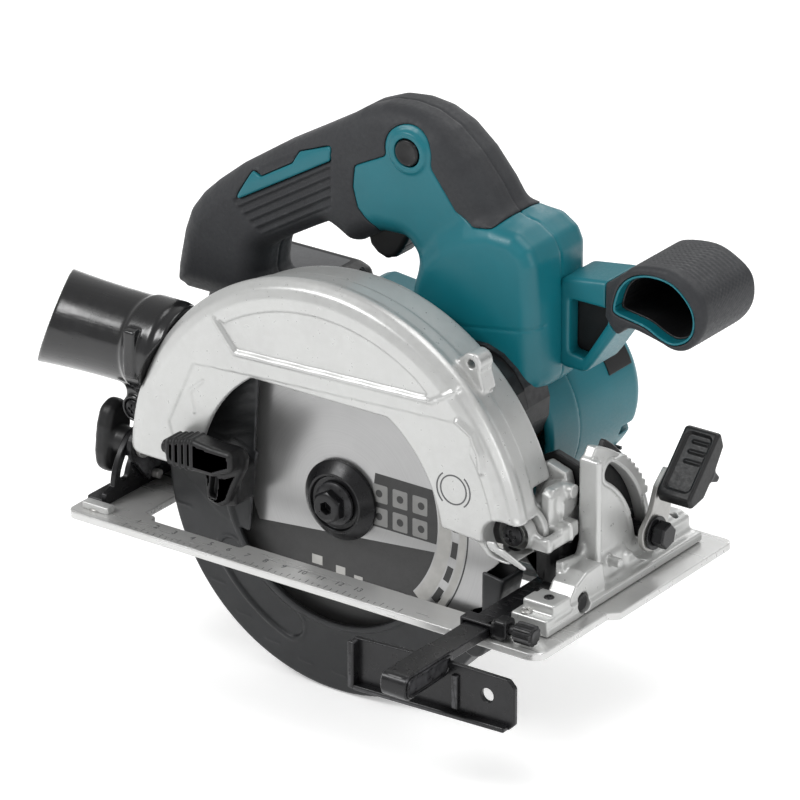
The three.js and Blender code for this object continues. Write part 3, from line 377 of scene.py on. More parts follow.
class Solid:
    """Collects closed swept and turned bodies, in millimetres, as one mesh with small bevelled edges."""

    AXES = {0: (1, 2, 0), 1: (0, 2, 1), 2: (0, 1, 2)}

    def __init__(self):
        self.places, self.faces = [], []

    def add(self, places, faces):
        start = len(self.places)
        self.places += [list(p) for p in places]
        self.faces += [[start + i for i in f] for f in faces]

    def sweep(self, axis, outline, a, b, holes=(), edge=0.0):
        """An outline with holes swept along an axis, its rims drawn in by edge for a chamfer."""
        u, v, w = self.AXES[axis]
        loops = [list(outline)] + [list(h) for h in holes]
        turns = [1 if area(loop) > 0 else -1 for loop in loops]
        loops = [loop if turn == (1 if k == 0 else -1) else loop[::-1]
                 for k, (loop, turn) in enumerate(zip(loops, turns))]
        layers = [(a, edge), (a + edge, 0.0), (b - edge, 0.0), (b, edge)] if edge else [(a, 0.0), (b, 0.0)]
        places, faces, starts = [], [], []
        for w_place, inset in layers:
            starts.append(len(places))
            for loop in loops:
                for p in inward(loop, inset):
                    place = [0.0, 0.0, 0.0]
                    place[u], place[v], place[w] = p[0], p[1], w_place
                    places.append(place)
        right_handed = (u, v, w) in ((0, 1, 2), (1, 2, 0), (2, 0, 1))
        sides = []
        for lower, upper in zip(starts, starts[1:]):
            begin = 0
            for loop in loops:
                for i in range(len(loop)):
                    j = (i + 1) % len(loop)
                    sides.append([lower + begin + i, lower + begin + j, upper + begin + j,
                        upper + begin + i])
                begin += len(loop)
        caps = tessellate_polygon([[Vector((*p, 0)) for p in loop] for loop in loops])
        flat = [p for loop in loops for p in loop]
        for tri in caps:
            if area([flat[i] for i in tri]) < 0:
                tri = tri[::-1]
            faces.append([starts[-1] + i for i in tri])
            faces.append([starts[0] + i for i in tri[::-1]])
        faces += sides
        if not right_handed:
            faces = [f[::-1] for f in faces]
        self.add(places, faces)
        return self

    def turn(self, axis, u, v, profile, sides=96):
        """A closed profile of [radius, place] turned about an axis."""
        a, b, w = self.AXES[axis]
        places = []
        for k in range(sides):
            angle = 2 * math.pi * k / sides
            for r, along in profile:
                place = [0.0, 0.0, 0.0]
                place[a], place[b], place[w] = u + r * math.cos(angle), v + r * math.sin(angle), along
                places.append(place)
        n = len(profile)
        faces = []
        for k in range(sides):
            here, there = k * n, ((k + 1) % sides) * n
            for i in range(n - 1):
                faces.append([here + i, there + i, there + i + 1, here + i + 1])
            if profile[0][0] > 0 or profile[-1][0] > 0:
                faces.append([here + n - 1, there + n - 1, there, here])
        self.add(places, faces)
        return self

    def mesh(self, name, material, body, slot, replaced=(), bevel=0.0, turn=35):
        made = mesh_object(name, self.places, self.faces, material)
        tidy_mesh(made.data)
        if bevel:
            modifier = made.modifiers.new("edges", "BEVEL")
            modifier.width = bevel * MM
            modifier.segments = 2
            modifier.limit_method = "ANGLE"
            modifier.angle_limit = math.radians(turn)
            flatter = made.modifiers.new("flat_faces", "WEIGHTED_NORMAL")
            flatter.keep_sharp = True
        made.data.set_sharp_from_angle(angle=math.radians(turn))
        return fasten(made, body, replaced)


def area(loop):
    return sum(a[0] * b[1] - b[0] * a[1] for a, b in zip(loop, loop[1:] + loop[:1])) / 2


def inward(loop, distance):
    """The outline moved towards the solid by a distance: left of its direction of travel."""
    if distance == 0:
        return loop
    made = []
    for i, p in enumerate(loop):
        back = np.subtract(p, loop[i - 1])
        ahead = np.subtract(loop[(i + 1) % len(loop)], p)
        back, ahead = back / max(np.linalg.norm(back), 1e-9), ahead / max(np.linalg.norm(ahead), 1e-9)
        along = back + ahead
        along = along / max(np.linalg.norm(along), 1e-9)
        reach = min(distance / max(along @ back, 0.3), 2 * distance)
        made.append([p[0] - along[1] * reach, p[1] + along[0] * reach])
    return made


def tidy_mesh(mesh):
    """Joins doubled corners and points every face outwards."""
    work = bmesh.new()
    work.from_mesh(mesh)
    bmesh.ops.remove_doubles(work, verts=work.verts, dist=1e-7)
    bmesh.ops.dissolve_degenerate(work, dist=1e-7, edges=work.edges)
    bmesh.ops.recalc_face_normals(work, faces=work.faces)
    bmesh.ops.dissolve_limit(work, angle_limit=math.radians(0.3), verts=work.verts, edges=work.edges)
    work.to_mesh(mesh)
    work.free()


# ---- materials ----
class Look:
    """A procedural surface. Patterns follow each piece's own coordinates, so they move with it."""

    def __init__(self, name, colour, roughness, metallic=0.0):
        self.material = bpy.data.materials.new(name)
        self.material.use_nodes = True
        self.material.diffuse_color = (*colour, 1)
        self.tree = self.material.node_tree
        self.shader = self.tree.nodes["Principled BSDF"]
        self.shader.inputs["Base Color"].default_value = (*colour, 1)
        self.shader.inputs["Roughness"].default_value = roughness
        self.shader.inputs["Metallic"].default_value = metallic
        self.colour = self.plain(colour)
        self.place = self.node("ShaderNodeTexCoord").outputs["Object"]
        self.roughness, self.heights = roughness, []

    def node(self, kind, **settings):
        made = self.tree.nodes.new(kind)
        for key, value in settings.items():
            setattr(made, key, value)
        return made

    def link(self, output, socket):
        self.tree.links.new(output, socket)

    def plain(self, colour):
        made = self.node("ShaderNodeRGB")
        made.outputs[0].default_value = (*colour, 1)
        return made.outputs[0]

    def noise(self, size, detail=4.0, stretch=(1, 1, 1), roughness=0.55):
        """Noise whose features are about size millimetres across."""
        mapping = self.node("ShaderNodeMapping")
        mapping.inputs["Scale"].default_value = [s / (size * MM) for s in stretch]
        self.link(self.place, mapping.inputs["Vector"])
        made = self.node("ShaderNodeTexNoise")
        made.inputs["Scale"].default_value = 1.0
        made.inputs["Detail"].default_value = detail
        made.inputs["Roughness"].default_value = roughness
        self.link(mapping.outputs[0], made.inputs["Vector"])
        return made.outputs["Fac"]

    def spread(self, output, from_low, from_high, to_low, to_high):
        made = self.node("ShaderNodeMapRange")
        for key, value in zip(("From Min", "From Max", "To Min", "To Max"),
                (from_low, from_high, to_low, to_high)):
            made.inputs[key].default_value = value
        self.link(output, made.inputs["Value"])
        return made.outputs["Result"]

    def maths(self, kind, a, b=0.0):
        made = self.node("ShaderNodeMath", operation=kind)
        for socket, value in zip(made.inputs, (a, b)):
            if isinstance(value, (int, float)):
                socket.default_value = value
            else:
                self.link(value, socket)
        return made.outputs[0]

    def mix(self, share, colour):
        """Lays a colour over what is there, by a share that varies over the surface."""
        made = self.node("ShaderNodeMix", data_type="RGBA")
        self.link(share, made.inputs["Factor"])
        self.link(self.colour, made.inputs["A"])
        made.inputs["B"].default_value = (*colour, 1)
        self.colour = made.outputs["Result"]
        return self

    def clouds(self, size, colour, share=1.0, detail=3.0, stretch=(1, 1, 1)):
        return self.mix(self.spread(self.noise(size, detail, stretch), 0.42, 0.68, 0.0, share), colour)

    def specks(self, size, colour, share=1.0, above=0.66):
        return self.mix(self.spread(self.noise(size, 2.0), above, above + 0.06, 0.0, share), colour)

    def edge_wear_and_highlight(self, colour, share=0.6, sharp=0.53):
        """Lighter along convex edges, broken up by noise: partly edge wear, partly a painted highlight."""
        edge = self.spread(self.node("ShaderNodeNewGeometry").outputs["Pointiness"], sharp, sharp + 0.06,
            0.0, share)
        return self.mix(self.maths("MULTIPLY", edge, self.spread(self.noise(3.0), 0.35, 0.65, 0.2, 1.0)),
            colour)

    def hollow_shade(self, colour, share=0.5):
        """Painted shade: darker in hollows, where shade falls."""
        hollow = self.spread(self.node("ShaderNodeNewGeometry").outputs["Pointiness"], 0.42, 0.485, share,
            0.0)
        return self.mix(hollow, colour)

    def rough(self, size, spread, stretch=(1, 1, 1)):
        noise = self.noise(size, 4.0, stretch)
        self.link(self.spread(noise, 0.3, 0.7, self.roughness - spread, self.roughness + spread),
                  self.shader.inputs["Roughness"])
        return self

    def bump(self, size, depth, stretch=(1, 1, 1), detail=3.0):
        self.heights.append(self.maths("MULTIPLY", self.noise(size, detail, stretch), depth * MM))
        return self

    def set(self, **values):
        """Plain numbers set straight on the shader, such as Coat_Weight=0.3."""
        for key, value in values.items():
            self.shader.inputs[key.replace("_", " ")].default_value = value
        return self

    def done(self):
        self.link(self.colour, self.shader.inputs["Base Color"])
        if self.heights:
            total = self.heights[0]
            for height in self.heights[1:]:
                total = self.maths("ADD", total, height)
            bump = self.node("ShaderNodeBump")
            bump.inputs["Strength"].default_value = 1.0
            bump.inputs["Distance"].default_value = 1.0
            self.link(total, bump.inputs["Height"])
            self.link(bump.outputs["Normal"], self.shader.inputs["Normal"])
        return self.material


def cast_silver():
    """Aluminium casting under a thin satin silver lacquer."""
    look = Look("cast_silver", (0.53, 0.535, 0.525), 0.34, 0.5)
    look.clouds(26, (0.48, 0.48, 0.475), 0.5).clouds(4, (0.57, 0.575, 0.57), 0.35)
    # Darker hollows: painted shade.
    # Lighter convex edges: partly edge wear, partly painted highlight.
    look.specks(0.9, (0.60, 0.60, 0.60), 0.25).edge_wear_and_highlight((0.82, 0.82, 0.82), 0.5).hollow_shade((0.26, 0.26, 0.255),
        0.45)
    return look.rough(2.2, 0.07).bump(0.7, 0.020).bump(5, 0.03).set(Specular_IOR_Level=0.5).done()


def moulded_teal():
    """Glass-filled nylon with a fine spark-eroded texture."""
    look = Look("moulded_teal", (0.003, 0.128, 0.160), 0.38)
    look.clouds(22, (0.004, 0.145, 0.182), 0.6).specks(0.6, (0.008, 0.17, 0.21), 0.3)
    # Darker hollows: painted shade.
    # Lighter convex edges: partly edge wear, partly painted highlight.
    look.edge_wear_and_highlight((0.05, 0.30, 0.37), 0.5).hollow_shade((0.004, 0.055, 0.078), 0.6)
    return look.rough(1.2, 0.06).bump(0.55, 0.022).bump(9, 0.04).set(Specular_IOR_Level=0.42).done()


def soft_rubber():
    """Thermoplastic rubber, matt, with a fine leathery grain."""
    look = Look("soft_rubber", (0.020, 0.021, 0.024), 0.6)
    look.clouds(14, (0.026, 0.028, 0.031), 0.7).specks(0.8, (0.06, 0.062, 0.066), 0.25)
    # Darker hollows: painted shade.
    # Lighter convex edges: partly edge wear, partly painted highlight.
    look.edge_wear_and_highlight((0.085, 0.088, 0.092), 0.45).hollow_shade((0.012, 0.012, 0.013), 0.6)
    return look.rough(1.8, 0.09).bump(0.9, 0.05).bump(0.35, 0.02).set(Specular_IOR_Level=0.4,
        Sheen_Weight=0.06, Sheen_Roughness=0.5).done()


def moulded_black(name="moulded_black", roughness=0.42):
    look = Look(name, (0.008, 0.008, 0.0085), roughness)
    look.clouds(12, (0.012, 0.012, 0.013), 0.7).specks(0.7, (0.026, 0.026, 0.028), 0.3)
    # Darker hollows: painted shade.
    # Lighter convex edges: partly edge wear, partly painted highlight.
    look.edge_wear_and_highlight((0.10, 0.10, 0.105), 0.5).hollow_shade((0.006, 0.006, 0.006), 0.6)
    return look.rough(1.5, 0.08).bump(0.6, 0.022).bump(7, 0.03).set(Specular_IOR_Level=0.36).done()


def gloss_black():
    """Polished black moulding of the dust nozzle."""
    look = Look("gloss_black", (0.005, 0.005, 0.0055), 0.24)
    look.clouds(18, (0.008, 0.008, 0.009), 0.8).specks(0.8, (0.04, 0.04, 0.042), 0.15, 0.7)
    # Lighter convex edges: partly edge wear, partly painted highlight.
    look.edge_wear_and_highlight((0.07, 0.07, 0.075), 0.35)
    return look.rough(5, 0.05).bump(6, 0.05).bump(0.8, 0.006).set(Coat_Weight=0.25,
        Coat_Roughness=0.12).done()


def guard_black():
    """Dark grey anodised guard, slightly dusty."""
    look = Look("guard_black", (0.014, 0.015, 0.016), 0.40, 0.25)
    look.clouds(20, (0.020, 0.021, 0.023), 0.7).specks(0.7, (0.045, 0.045, 0.05), 0.25)
    # Darker hollows: painted shade.
    # Lighter convex edges: partly edge wear, partly painted highlight.
    look.edge_wear_and_highlight((0.15, 0.15, 0.16), 0.5).hollow_shade((0.005, 0.005, 0.005), 0.7)
    return look.rough(3, 0.08).bump(0.8, 0.03).bump(12, 0.05).done()


def black_steel(name="black_steel", colour=(0.010, 0.010, 0.011), roughness=0.30, metallic=0.3):
    """Steel with a black oxide or enamel finish."""
    look = Look(name, colour, roughness, metallic)
    look.clouds(9, tuple(1.5 * c for c in colour), 0.7).specks(0.6, (0.04, 0.04, 0.042), 0.2)
    # Lighter convex edges: partly edge wear, partly painted highlight.
    look.edge_wear_and_highlight((0.16, 0.16, 0.17), 0.4)
    return look.rough(3, 0.05).bump(1.4, 0.006).bump(8, 0.03).set(Specular_IOR_Level=0.45).done()


def bright_steel(name="bright_steel", colour=(0.46, 0.455, 0.44), roughness=0.34):
    """Zinc-plated steel with a faint yellow to the grey."""
    look = Look(name, colour, roughness, 0.65)
    look.clouds(5, tuple(0.85 * c for c in colour), 0.6).specks(0.5, tuple(1.15 * c for c in colour), 0.2)
    return look.rough(2.5, 0.05).bump(2.5, 0.008).done()


def sole_aluminium():
    """Rolled aluminium, brushed along the base, with handling marks."""
    look = Look("sole_aluminium", (0.60, 0.60, 0.59), 0.30, 0.55)
    look.clouds(0.7, (0.53, 0.53, 0.525), 0.25, stretch=(0.03, 1, 1)).clouds(24, (0.66, 0.66, 0.66), 0.4)
    return look.rough(6, 0.06, (0.1, 1, 1)).bump(0.5, 0.006, (0.02, 1, 1)).bump(18, 0.05).done()


def blade_steel():
    """Ground steel, with fine circular grinding marks drawn as rings round the arbor."""
    look = Look("blade_steel", (0.38, 0.38, 0.38), 0.30, 0.75)
    place = look.node("ShaderNodeVectorMath", operation="SUBTRACT")
    place.inputs[1].default_value = (ARBOR[0] * MM, 0, ARBOR[1] * MM)
    look.link(look.place, place.inputs[0])
    flat = look.node("ShaderNodeVectorMath", operation="MULTIPLY")
    flat.inputs[1].default_value = (1, 0, 1)
    look.link(place.outputs[0], flat.inputs[0])
    distance = look.node("ShaderNodeVectorMath", operation="LENGTH")
    look.link(flat.outputs[0], distance.inputs[0])
    rings = look.node("ShaderNodeTexNoise", noise_dimensions="1D")
    rings.inputs["Scale"].default_value = 1400
    rings.inputs["Detail"].default_value = 3
    look.link(distance.outputs["Value"], rings.inputs["W"])
    look.mix(look.spread(rings.outputs["Fac"], 0.35, 0.7, 0.0, 0.5), (0.33, 0.33, 0.33))
    look.clouds(30, (0.42, 0.42, 0.42), 0.5).specks(0.7, (0.36, 0.36, 0.36), 0.12, 0.68)
    look.heights.append(look.maths("MULTIPLY", rings.outputs["Fac"], 0.003 * MM))
    return look.rough(20, 0.03).bump(25, 0.05).done()


def printed(name, colour):
    """Screen-printed ink, slightly worn."""
    look = Look(name, colour, 0.5)
    look.clouds(6, tuple(1.25 * c for c in colour), 0.6).specks(0.5, tuple(0.8 * c for c in colour), 0.4)
    return look.rough(1.5, 0.08).bump(0.5, 0.01).done()


def copper_winding():
    look = Look("copper_winding", (0.55, 0.22, 0.09), 0.35, 0.9)
    look.clouds(3, (0.42, 0.15, 0.06), 0.7).specks(0.5, (0.7, 0.32, 0.16), 0.3)
    return look.rough(1.5, 0.08).bump(0.6, 0.06, (1, 6, 1)).done()


def board_green():
    look = Look("board_green", (0.01, 0.10, 0.04), 0.4)
    look.clouds(4, (0.015, 0.14, 0.055), 0.7).specks(0.8, (0.5, 0.45, 0.25), 0.4, 0.64)
    return look.rough(1.5, 0.08).bump(1.2, 0.05).done()


def clear_lens():
    look = Look("clear_lens", (0.75, 0.78, 0.78), 0.15)
    look.clouds(2, (0.6, 0.63, 0.63), 0.5)
    return look.rough(1.0, 0.05).bump(1.0, 0.02).set(Coat_Weight=0.6).done()


def all_looks():
    return {
        "teal": moulded_teal(), "rubber": soft_rubber(), "black": moulded_black(), "gloss": gloss_black(),
        "silver": cast_silver(), "plate": sole_aluminium(), "guard": guard_black(),
        "black_steel": black_steel(),
        "steel": bright_steel(), "blade": blade_steel(), "dark_hole": moulded_black("dark_inside", 0.7),
        "print_dark": printed("dark_ink", (0.026, 0.026, 0.026)),
        "print_light": printed("light_ink", (0.36, 0.355, 0.34)),
        "print_grey": printed("grey_label", (0.09, 0.092, 0.095)),
        "print_mid": printed("mid_ink", (0.20, 0.20, 0.195)),
        "copper": copper_winding(), "board": board_green(), "lens": clear_lens(),
    }


looks = all_looks()
SLOTS = {
    "teal": "teal_plastic", "rubber": "grip_rubber", "black": "black_plastic", "gloss": "gloss_black",
    "silver": "silver_casting", "plate": "sole_aluminium", "guard": "guard_black",
    "black_steel": "black_steel",
    "steel": "steel", "dark_hole": "black_plastic", "blade": "blade_steel", "print_dark": "black_steel",
    "print_light": "blade_steel", "print_grey": "black_plastic", "print_mid": "blade_steel",
}


def field_piece(space, name, field, look, body="saw", replaced=()):
    return space.mesh(name, field, looks[look], body, SLOTS[look], replaced)


def solid_piece(solid, name, look, body="saw", replaced=(), bevel=0.0, turn=35):
    return solid.mesh(name, looks[look], body, SLOTS[look], replaced, bevel, turn)


# ---- handle ----
HANDLE_ARCH = [
    [-117.5, 82], [-116.5, 92], [-113.1, 108.6], [-109.5, 118.5], [-103.5, 126.5], [-96, 133.5],
    [-83.2, 143.7],
    [-65, 155.7], [-48.7, 165.1], [-31.5, 175.2], [-19, 183.6], [-8, 188.1], [3, 189.3], [14, 188],
    [25, 183.4],
    [36, 174.5], [46, 163], [56, 148.5], [70, 140], [75, 120], [75, 80], [14, 80], [13.5, 107.8],
    [12.1, 118.2],
    [9.4, 125.6], [5, 131.5], [-8, 131], [-18.5, 124.5], [-24.2, 123], [-30.6, 126.6], [-36.5, 129.2],
    [-45.1, 124.5], [-57.8, 117.2], [-69.5, 109.5], [-71.2, 98], [-71.2, 82],
]
COLUMN = [
    [14, 80], [12, 108], [13, 116], [18, 127], [26, 136.5], [38, 145.5], [52, 150], [64, 149.5], [72, 144.5],
    [75, 138], [75, 80],
]
LOWER_BAR = [[-112, 81.6], [16, 81.6], [16, 98], [4, 92.5], [-66, 92.5], [-78, 98], [-112, 98]]
TEAL_ZONE = [
    [-18.5, 160.3], [-4, 167.5], [2, 171], [19.2, 169.1], [32.8, 151.5], [43, 147.4], [52.8, 149], [62, 162],
    [110, 162], [110, 60], [-8, 60], [-9.4, 134.6], [-17, 142], [-19.4, 150.6],
]
ACCENT = [[-81.6, 130.1], [-73, 145.3], [-67.9, 143.9], [-51.1, 153.9], [-48, 159.6], [-30.8, 166.3],
    [-31.3, 159.6]]
PAD = [[-82.5, 129.5], [-72.5, 146.2], [-50, 157.5], [-30.8, 167.6], [-30.8, 138.6], [-67.1, 117.4]]
RIB_TILT, RIB_PITCH, RIB_START = math.radians(31), 3.77, 136.1


def handle_grip(space):
    """The whole D-shaped grip and its column before it is split into rubber and teal."""
    grip = space.sweep(1, soft(HANDLE_ARCH, 9), NEAR, FAR, 10.5)
    column = space.sweep(1, soft(COLUMN, 7), PARTING - 21.5, PARTING + 21.5, 7)
    bar = space.sweep(1, LOWER_BAR, PARTING - 12, PARTING + 12, 4)
    whole = join(join(grip, column, 7), bar, 3)
    gap = space.flat(1, soft([[-19.5, 108], [-19.5, 134], [-4, 142], [10, 139], [12, 128], [6, 108]], 2))
    slot = meet(gap, space.between(1, PARTING - 8.6, PARTING + 8.6))
    return cut(whole, slot, 1.0)


def parting_groove(space, depth=0.5, width=0.9):
    return depth * ridge(space.y - PARTING, width)


def handle():
    space = Space((-119, -3, 79), (77, 43, 191), 0.68)
    whole = handle_grip(space)
    motor = space.flat(1, motor_outline(0.9))
    zone = join(space.flat(1, soft(TEAL_ZONE, 3)), space.flat(1, circle(*LOCK, 11.5)), 2)
    skin = np.minimum(space.y - NEAR, FAR - space.y)
    near_side = np.clip(1.3 - skin / 3.0, 0, 1)
    ribs = handle_ribs(space) * near_side
    accent = space.flat(1, soft(ACCENT, 1.2))
    rubber = whole - 0.25 + ribs + parting_groove(space)
    rubber = cut(rubber, zone - 0.35, 0.6)
    rubber = cut(rubber, meet(accent - 0.3, skin - 2.6), 0.3)
    boss = space.rod(1, *LOCK, 9.2, NEAR - 0.9, FAR + 0.9, 1.0)
    teal = join(whole + 0.1, boss, 1.5)
    teal = cut(teal, -zone + 0.25, 0.5) + parting_groove(space)
    teal = cut(teal, space.rod(1, *LOCK, 6.3, -60, 60), 0.5)
    teal = cut(teal, meet(motor, -(space.y - 4)), 0.4)
    teal = teal + column_lines(space)
    strip = meet(meet(whole - 0.45, skin - 2.3), accent, 0.5)
    field_piece(space, "grip_rubber", rubber, "rubber", replaced=("grip_rubber_right", "grip_rubber_left"))
    field_piece(space, "handle_shell", teal, "teal", replaced=("handle_right", "handle_left"))
    field_piece(space, "grip_accent", strip, "teal")


def handle_ribs(space):
    """Depth of the ribbed thumb pad: a shallow pocket with raised lines across it."""
    pad = space.flat(1, soft(PAD, 3))
    across = -math.sin(RIB_TILT) * space.x + math.cos(RIB_TILT) * space.z
    lines = np.cos(np.pi * (across - RIB_START) / RIB_PITCH) ** 2
    inside = step_up(-pad, 1.4)
    return inside * (0.95 - 0.95 * np.clip((lines - 0.45) / 0.4, 0, 1))


def column_lines(space):
    """The seam across the column, on its near side."""
    seam = space.line(1, [[12, 112], [40, 104], [76, 110]])
    side = step_up(PARTING - space.y - 12, 3)
    return 0.45 * ridge(seam, 0.9) * side


def trigger():
    space = Space((-20, 11, 116), (12, 29, 142), 0.42)
    outline = [
        [-18.5, 127.5], [-17.2, 122.5], [-13.5, 119.2], [-8.8, 117.6], [-4.2, 119.2], [-0.5, 123.6],
        [2, 128.6],
        [6, 132.5], [9.5, 135], [9.5, 138.5], [5, 140], [-16.5, 136],
    ]
    shape = space.sweep(1, soft(outline, 2), PARTING - 7.5, PARTING + 7.5, 2.2)
    lines = 0.3 * np.clip(np.cos(2 * np.pi * space.z / 2.2), 0, 1) * step_up(126 - space.z, 2)
    field_piece(space, "trigger_blade", shape + lines * step_up(6 - np.abs(space.y - PARTING), 2), "black",
        "trigger",
                ("trigger",))


def lock_off_button():
    space = Space((1, 1, 165), (16, 39, 180), 0.42)
    lo, hi = low("lock_off_button")[1], high("lock_off_button")[1]
    button = space.rod(1, *LOCK, 5.8, lo, hi, 1.2)
    dish = space.ball(LOCK[0], lo - 12.5, LOCK[1], 13.4)
    button = cut(button, np.minimum(dish, space.ball(LOCK[0], hi + 12.5, LOCK[1], 13.4)), 0.6)
    field_piece(space, "lock_off_pin", button, "black", "lock_off_button", ("lock_off_button",))


# ---- motor housing ----
MOTOR_FRONT, MOTOR_BACK_R = (38.0, 54.0, 38.0), 27.5


def motor_outline(grow=0.0):
    return belt((*SHAFT, MOTOR_BACK_R + grow), (MOTOR_FRONT[0], MOTOR_FRONT[1], MOTOR_FRONT[2] + grow), 64)


def motor_housing():
    y0, y1 = low("motor_housing")[1], high("motor_housing")[1]
    space = Space((-14, y0 - 2, 10), (78, y1 + 1, 94), 0.72)
    body = space.sweep(1, motor_outline(), y0, y1, 7.5)
    collar = space.sweep(1, motor_outline(0.9), y0, y0 + 22, 2.2)
    body = join(body, collar, 1.2)
    inner = space.sweep(1, motor_outline(-2.8), y0 - 5, y1 - 3.5, 6)
    body = cut(body, inner)
    for i in range(6):
        z = 30 + 7.4 * i
        slot = space.block(6, 72, y1 - 9, y1 + 3, z - 1.5, z + 1.5, 1.4)
        reach = meet(slot, space.flat(1, motor_outline(-9)))
        body = cut(body, reach, 0.5)
    for i in range(6):
        slot = space.block(-20, -2, y0 + 26 + 6.6 * i, y0 + 29.4 + 6.6 * i, 30, 52, 1.4)
        body = cut(body, slot, 0.5)
    panel = space.flat(1, soft(motor_outline(-13), 4))
    body = body + 0.5 * ridge(panel, 0.9) * step_up(space.y - (y1 - 8), 2)
    body = body + 0.4 * ridge(space.y - (y0 + 22.4), 0.8)
    for x, z in ((62, 78), (70, 40), (12, 20), (-2, 60)):
        body = cut(body, space.rod(1, x, z, 3.4, y1 - 14, y1 + 4), 0.5)
    field_piece(space, "motor_shell", body, "teal", replaced=("motor_housing",))
    grille = Solid()
    for i in range(9):
        z = 26 + 6.2 * i
        grille.sweep(1, rect(10, 68, z, z + 1.4), y1 - 6.5, y1 - 5.0, edge=0.2)
    solid_piece(grille, "motor_vent_screen", "black")


def motor_patch():
    """The dark panel on the shoulder of the motor housing."""
    patch = Solid().sweep(1, soft(band(*MOTOR_FRONT[:2], 37.4, 38.5, 22, 36, 10), 0.3, 2), 60, 77, edge=0.2)
    solid_piece(patch, "motor_shoulder_panel", "black", "saw", bevel=0.1)


# ---- blade case ----
WINDOW_R, WINDOW_TOP = 62.8, 77.5
CASE_PROFILE = [
    [-20, -48], [94, -48], [98.5, -46.6], [101.3, -43], [101.9, -40.4], [100.3, -37], [100, -29.5],
    [97.6, -27.6],
    [97.6, -12], [-20, -12],
]
CASE_HOLLOW = [[-20, -45.2], [93, -45.2], [97, -41], [97, -30.5], [94.6, -28.5], [94.6, -15], [-20, -15]]
UPPER_PANEL = [[-53, 100.5], [-42.5, 88.6]] + [[57, 92.4]]
PANEL_RIDGE = [[-53.6, 100.2], [-43, 87.3], [57.5, 90.9], [68.5, 97.8]]
LOWER_STEP = [[-78.6, 47], [-65.2, 77], [-30, 79.4], [70.7, 84.6], [78.5, 80]]
RIGHT_RIB = [[70.5, 85.2], [77.5, 81], [81.8, 73.6], [82.6, 66]]
CHEVRON = [[-60.5, 70], [-67.5, 63.5], [-65.5, 54.5]]


def case_relief(space):
    """Raised lines and shallow panels on the outboard face, as depth below it."""
    panel = soft(UPPER_PANEL + arc(*ARBOR, 88.5, 52, 127, 20)[1:-1], 2)
    lower = soft(LOWER_STEP + arc(*ARBOR, 90, 32, -2, 12) + [[60, 20], [-70, 20]], 2)
    depth = 0.9 * step_up(-space.flat(1, panel), 0.9)
    depth = depth + 0.65 * step_up(-space.flat(1, lower), 0.8)
    depth = depth - 0.9 * ridge(space.line(1, PANEL_RIDGE), 1.7)
    depth = depth - 1.3 * ridge(space.line(1, RIGHT_RIB), 2.2)
    depth = depth - 0.5 * ridge(space.line(1, CHEVRON), 1.2)
    return depth * step_up(-43.5 - space.y, 3)


def blade_case():
    space = Space((-104, CASE_OUT - 1.5, -3), (106, CASE_IN + 0.5, 128), 0.7)
    shell = space.turn(1, *ARBOR, soft(CASE_PROFILE, 3)) + case_relief(space)
    rear = space.block(-104, -60, -45.5, -14, 26, 60, 5)
    shell = join(shell, meet(rear, space.turn(1, *ARBOR, rect(-20, 100.5, -60, 0))), 2)
    shell = cut(shell, space.turn(1, *ARBOR, CASE_HOLLOW))
    cap = math.degrees(math.asin((WINDOW_TOP - ARBOR[1]) / WINDOW_R))
    window = (arc(*ARBOR, WINDOW_R, 0, cap, 16) + arc(*ARBOR, WINDOW_R, 180 - cap, 180, 16)
              + [[-WINDOW_R, -10], [WINDOW_R, -10]])
    shell = cut(shell, space.sweep(1, soft(window, 3), -60, -42), 1.3)
    below = [[-120, 27.5], [0, 27.5], [40, 27.5], [61, 35.4], [76, 34.2], [120, 33.5], [120, -90],
        [-120, -90]]
    shell = cut(shell, space.sweep(1, soft(below, 3), -60, -15.4), 1.0)
    inner = [[-120, 12], [-23, 12]] + arc(*ARBOR, 26, 211, 329, 16) + [[23, 12], [120, 12], [120, -90],
        [-120, -90]]
    shell = cut(shell, space.sweep(1, soft(inner, 2), -16.2, -5), 0.4)
    shell = join(shell, pivot_lug(space), 2.5)
    pocket = join(space.rod(1, *DEPTH, 9.2, -60, -30.4),
                  space.sweep(1, [[92, 29.5], [115, 22], [115, 44], [92, 44.5]], -60, -30.4), 1.0)
    shell = cut(shell, pocket, 0.9)
    strip = space.sweep(1, soft([[84, 35], [88.5, 35.5], [104.5, 27.6], [103.2, 26.2], [86, 31.5]], 1), -47,
        -45.4, 0.6)
    shell = join(shell, strip, 0.5)
    shell = cut(shell, space.rod(1, *DEPTH, 3.3, -60, 0), 0.3)
    shell = join(shell, ear_with_hole(space), 1.5)
    shell = cut(shell, space.rod(1, 67.5, 105.2, 1.9, -40, -10), 0.3)
    shell = cut(shell, space.turn(1, *ARBOR, soft(rect(30, 88.6, -38.6, -16.2), 1)))
    shell = cut(shell, space.rod(1, *DEPTH_BOLT, 3.3, -30, 0), 0.3)
    shell = cut(shell, space.rod(1, *DEPTH, 17, -26, 0))
    shell = cut(shell, space.block(92.5, 112, -26, 2, -5, 34))
    throat = space.sweep(0, soft(rect(-41, -15, 56, 84), 5), -112, -60)
    shell = cut(shell, throat, 0.4)
    field_piece(space, "upper_blade_case", shell, "silver", replaced=("blade_case",))
    case_screws()


def pivot_lug(space):
    """The squarish end of the case that carries the depth pivot."""
    outline = [[78, 49], [86, 52]] + arc(*DEPTH, 10.6, 75, -95, 20) + [[84, 27], [78, 33]]
    return space.sweep(1, soft(outline, 2), -45.5, -26.4, 1.6)


def ear_with_hole(space):
    outline = arc(67.5, 105, 5, -30, 140, 10) + [[54, 98], [66, 86], [74, 94]]
    return space.sweep(1, soft(outline, 1), -34, -24.5, 0.9)


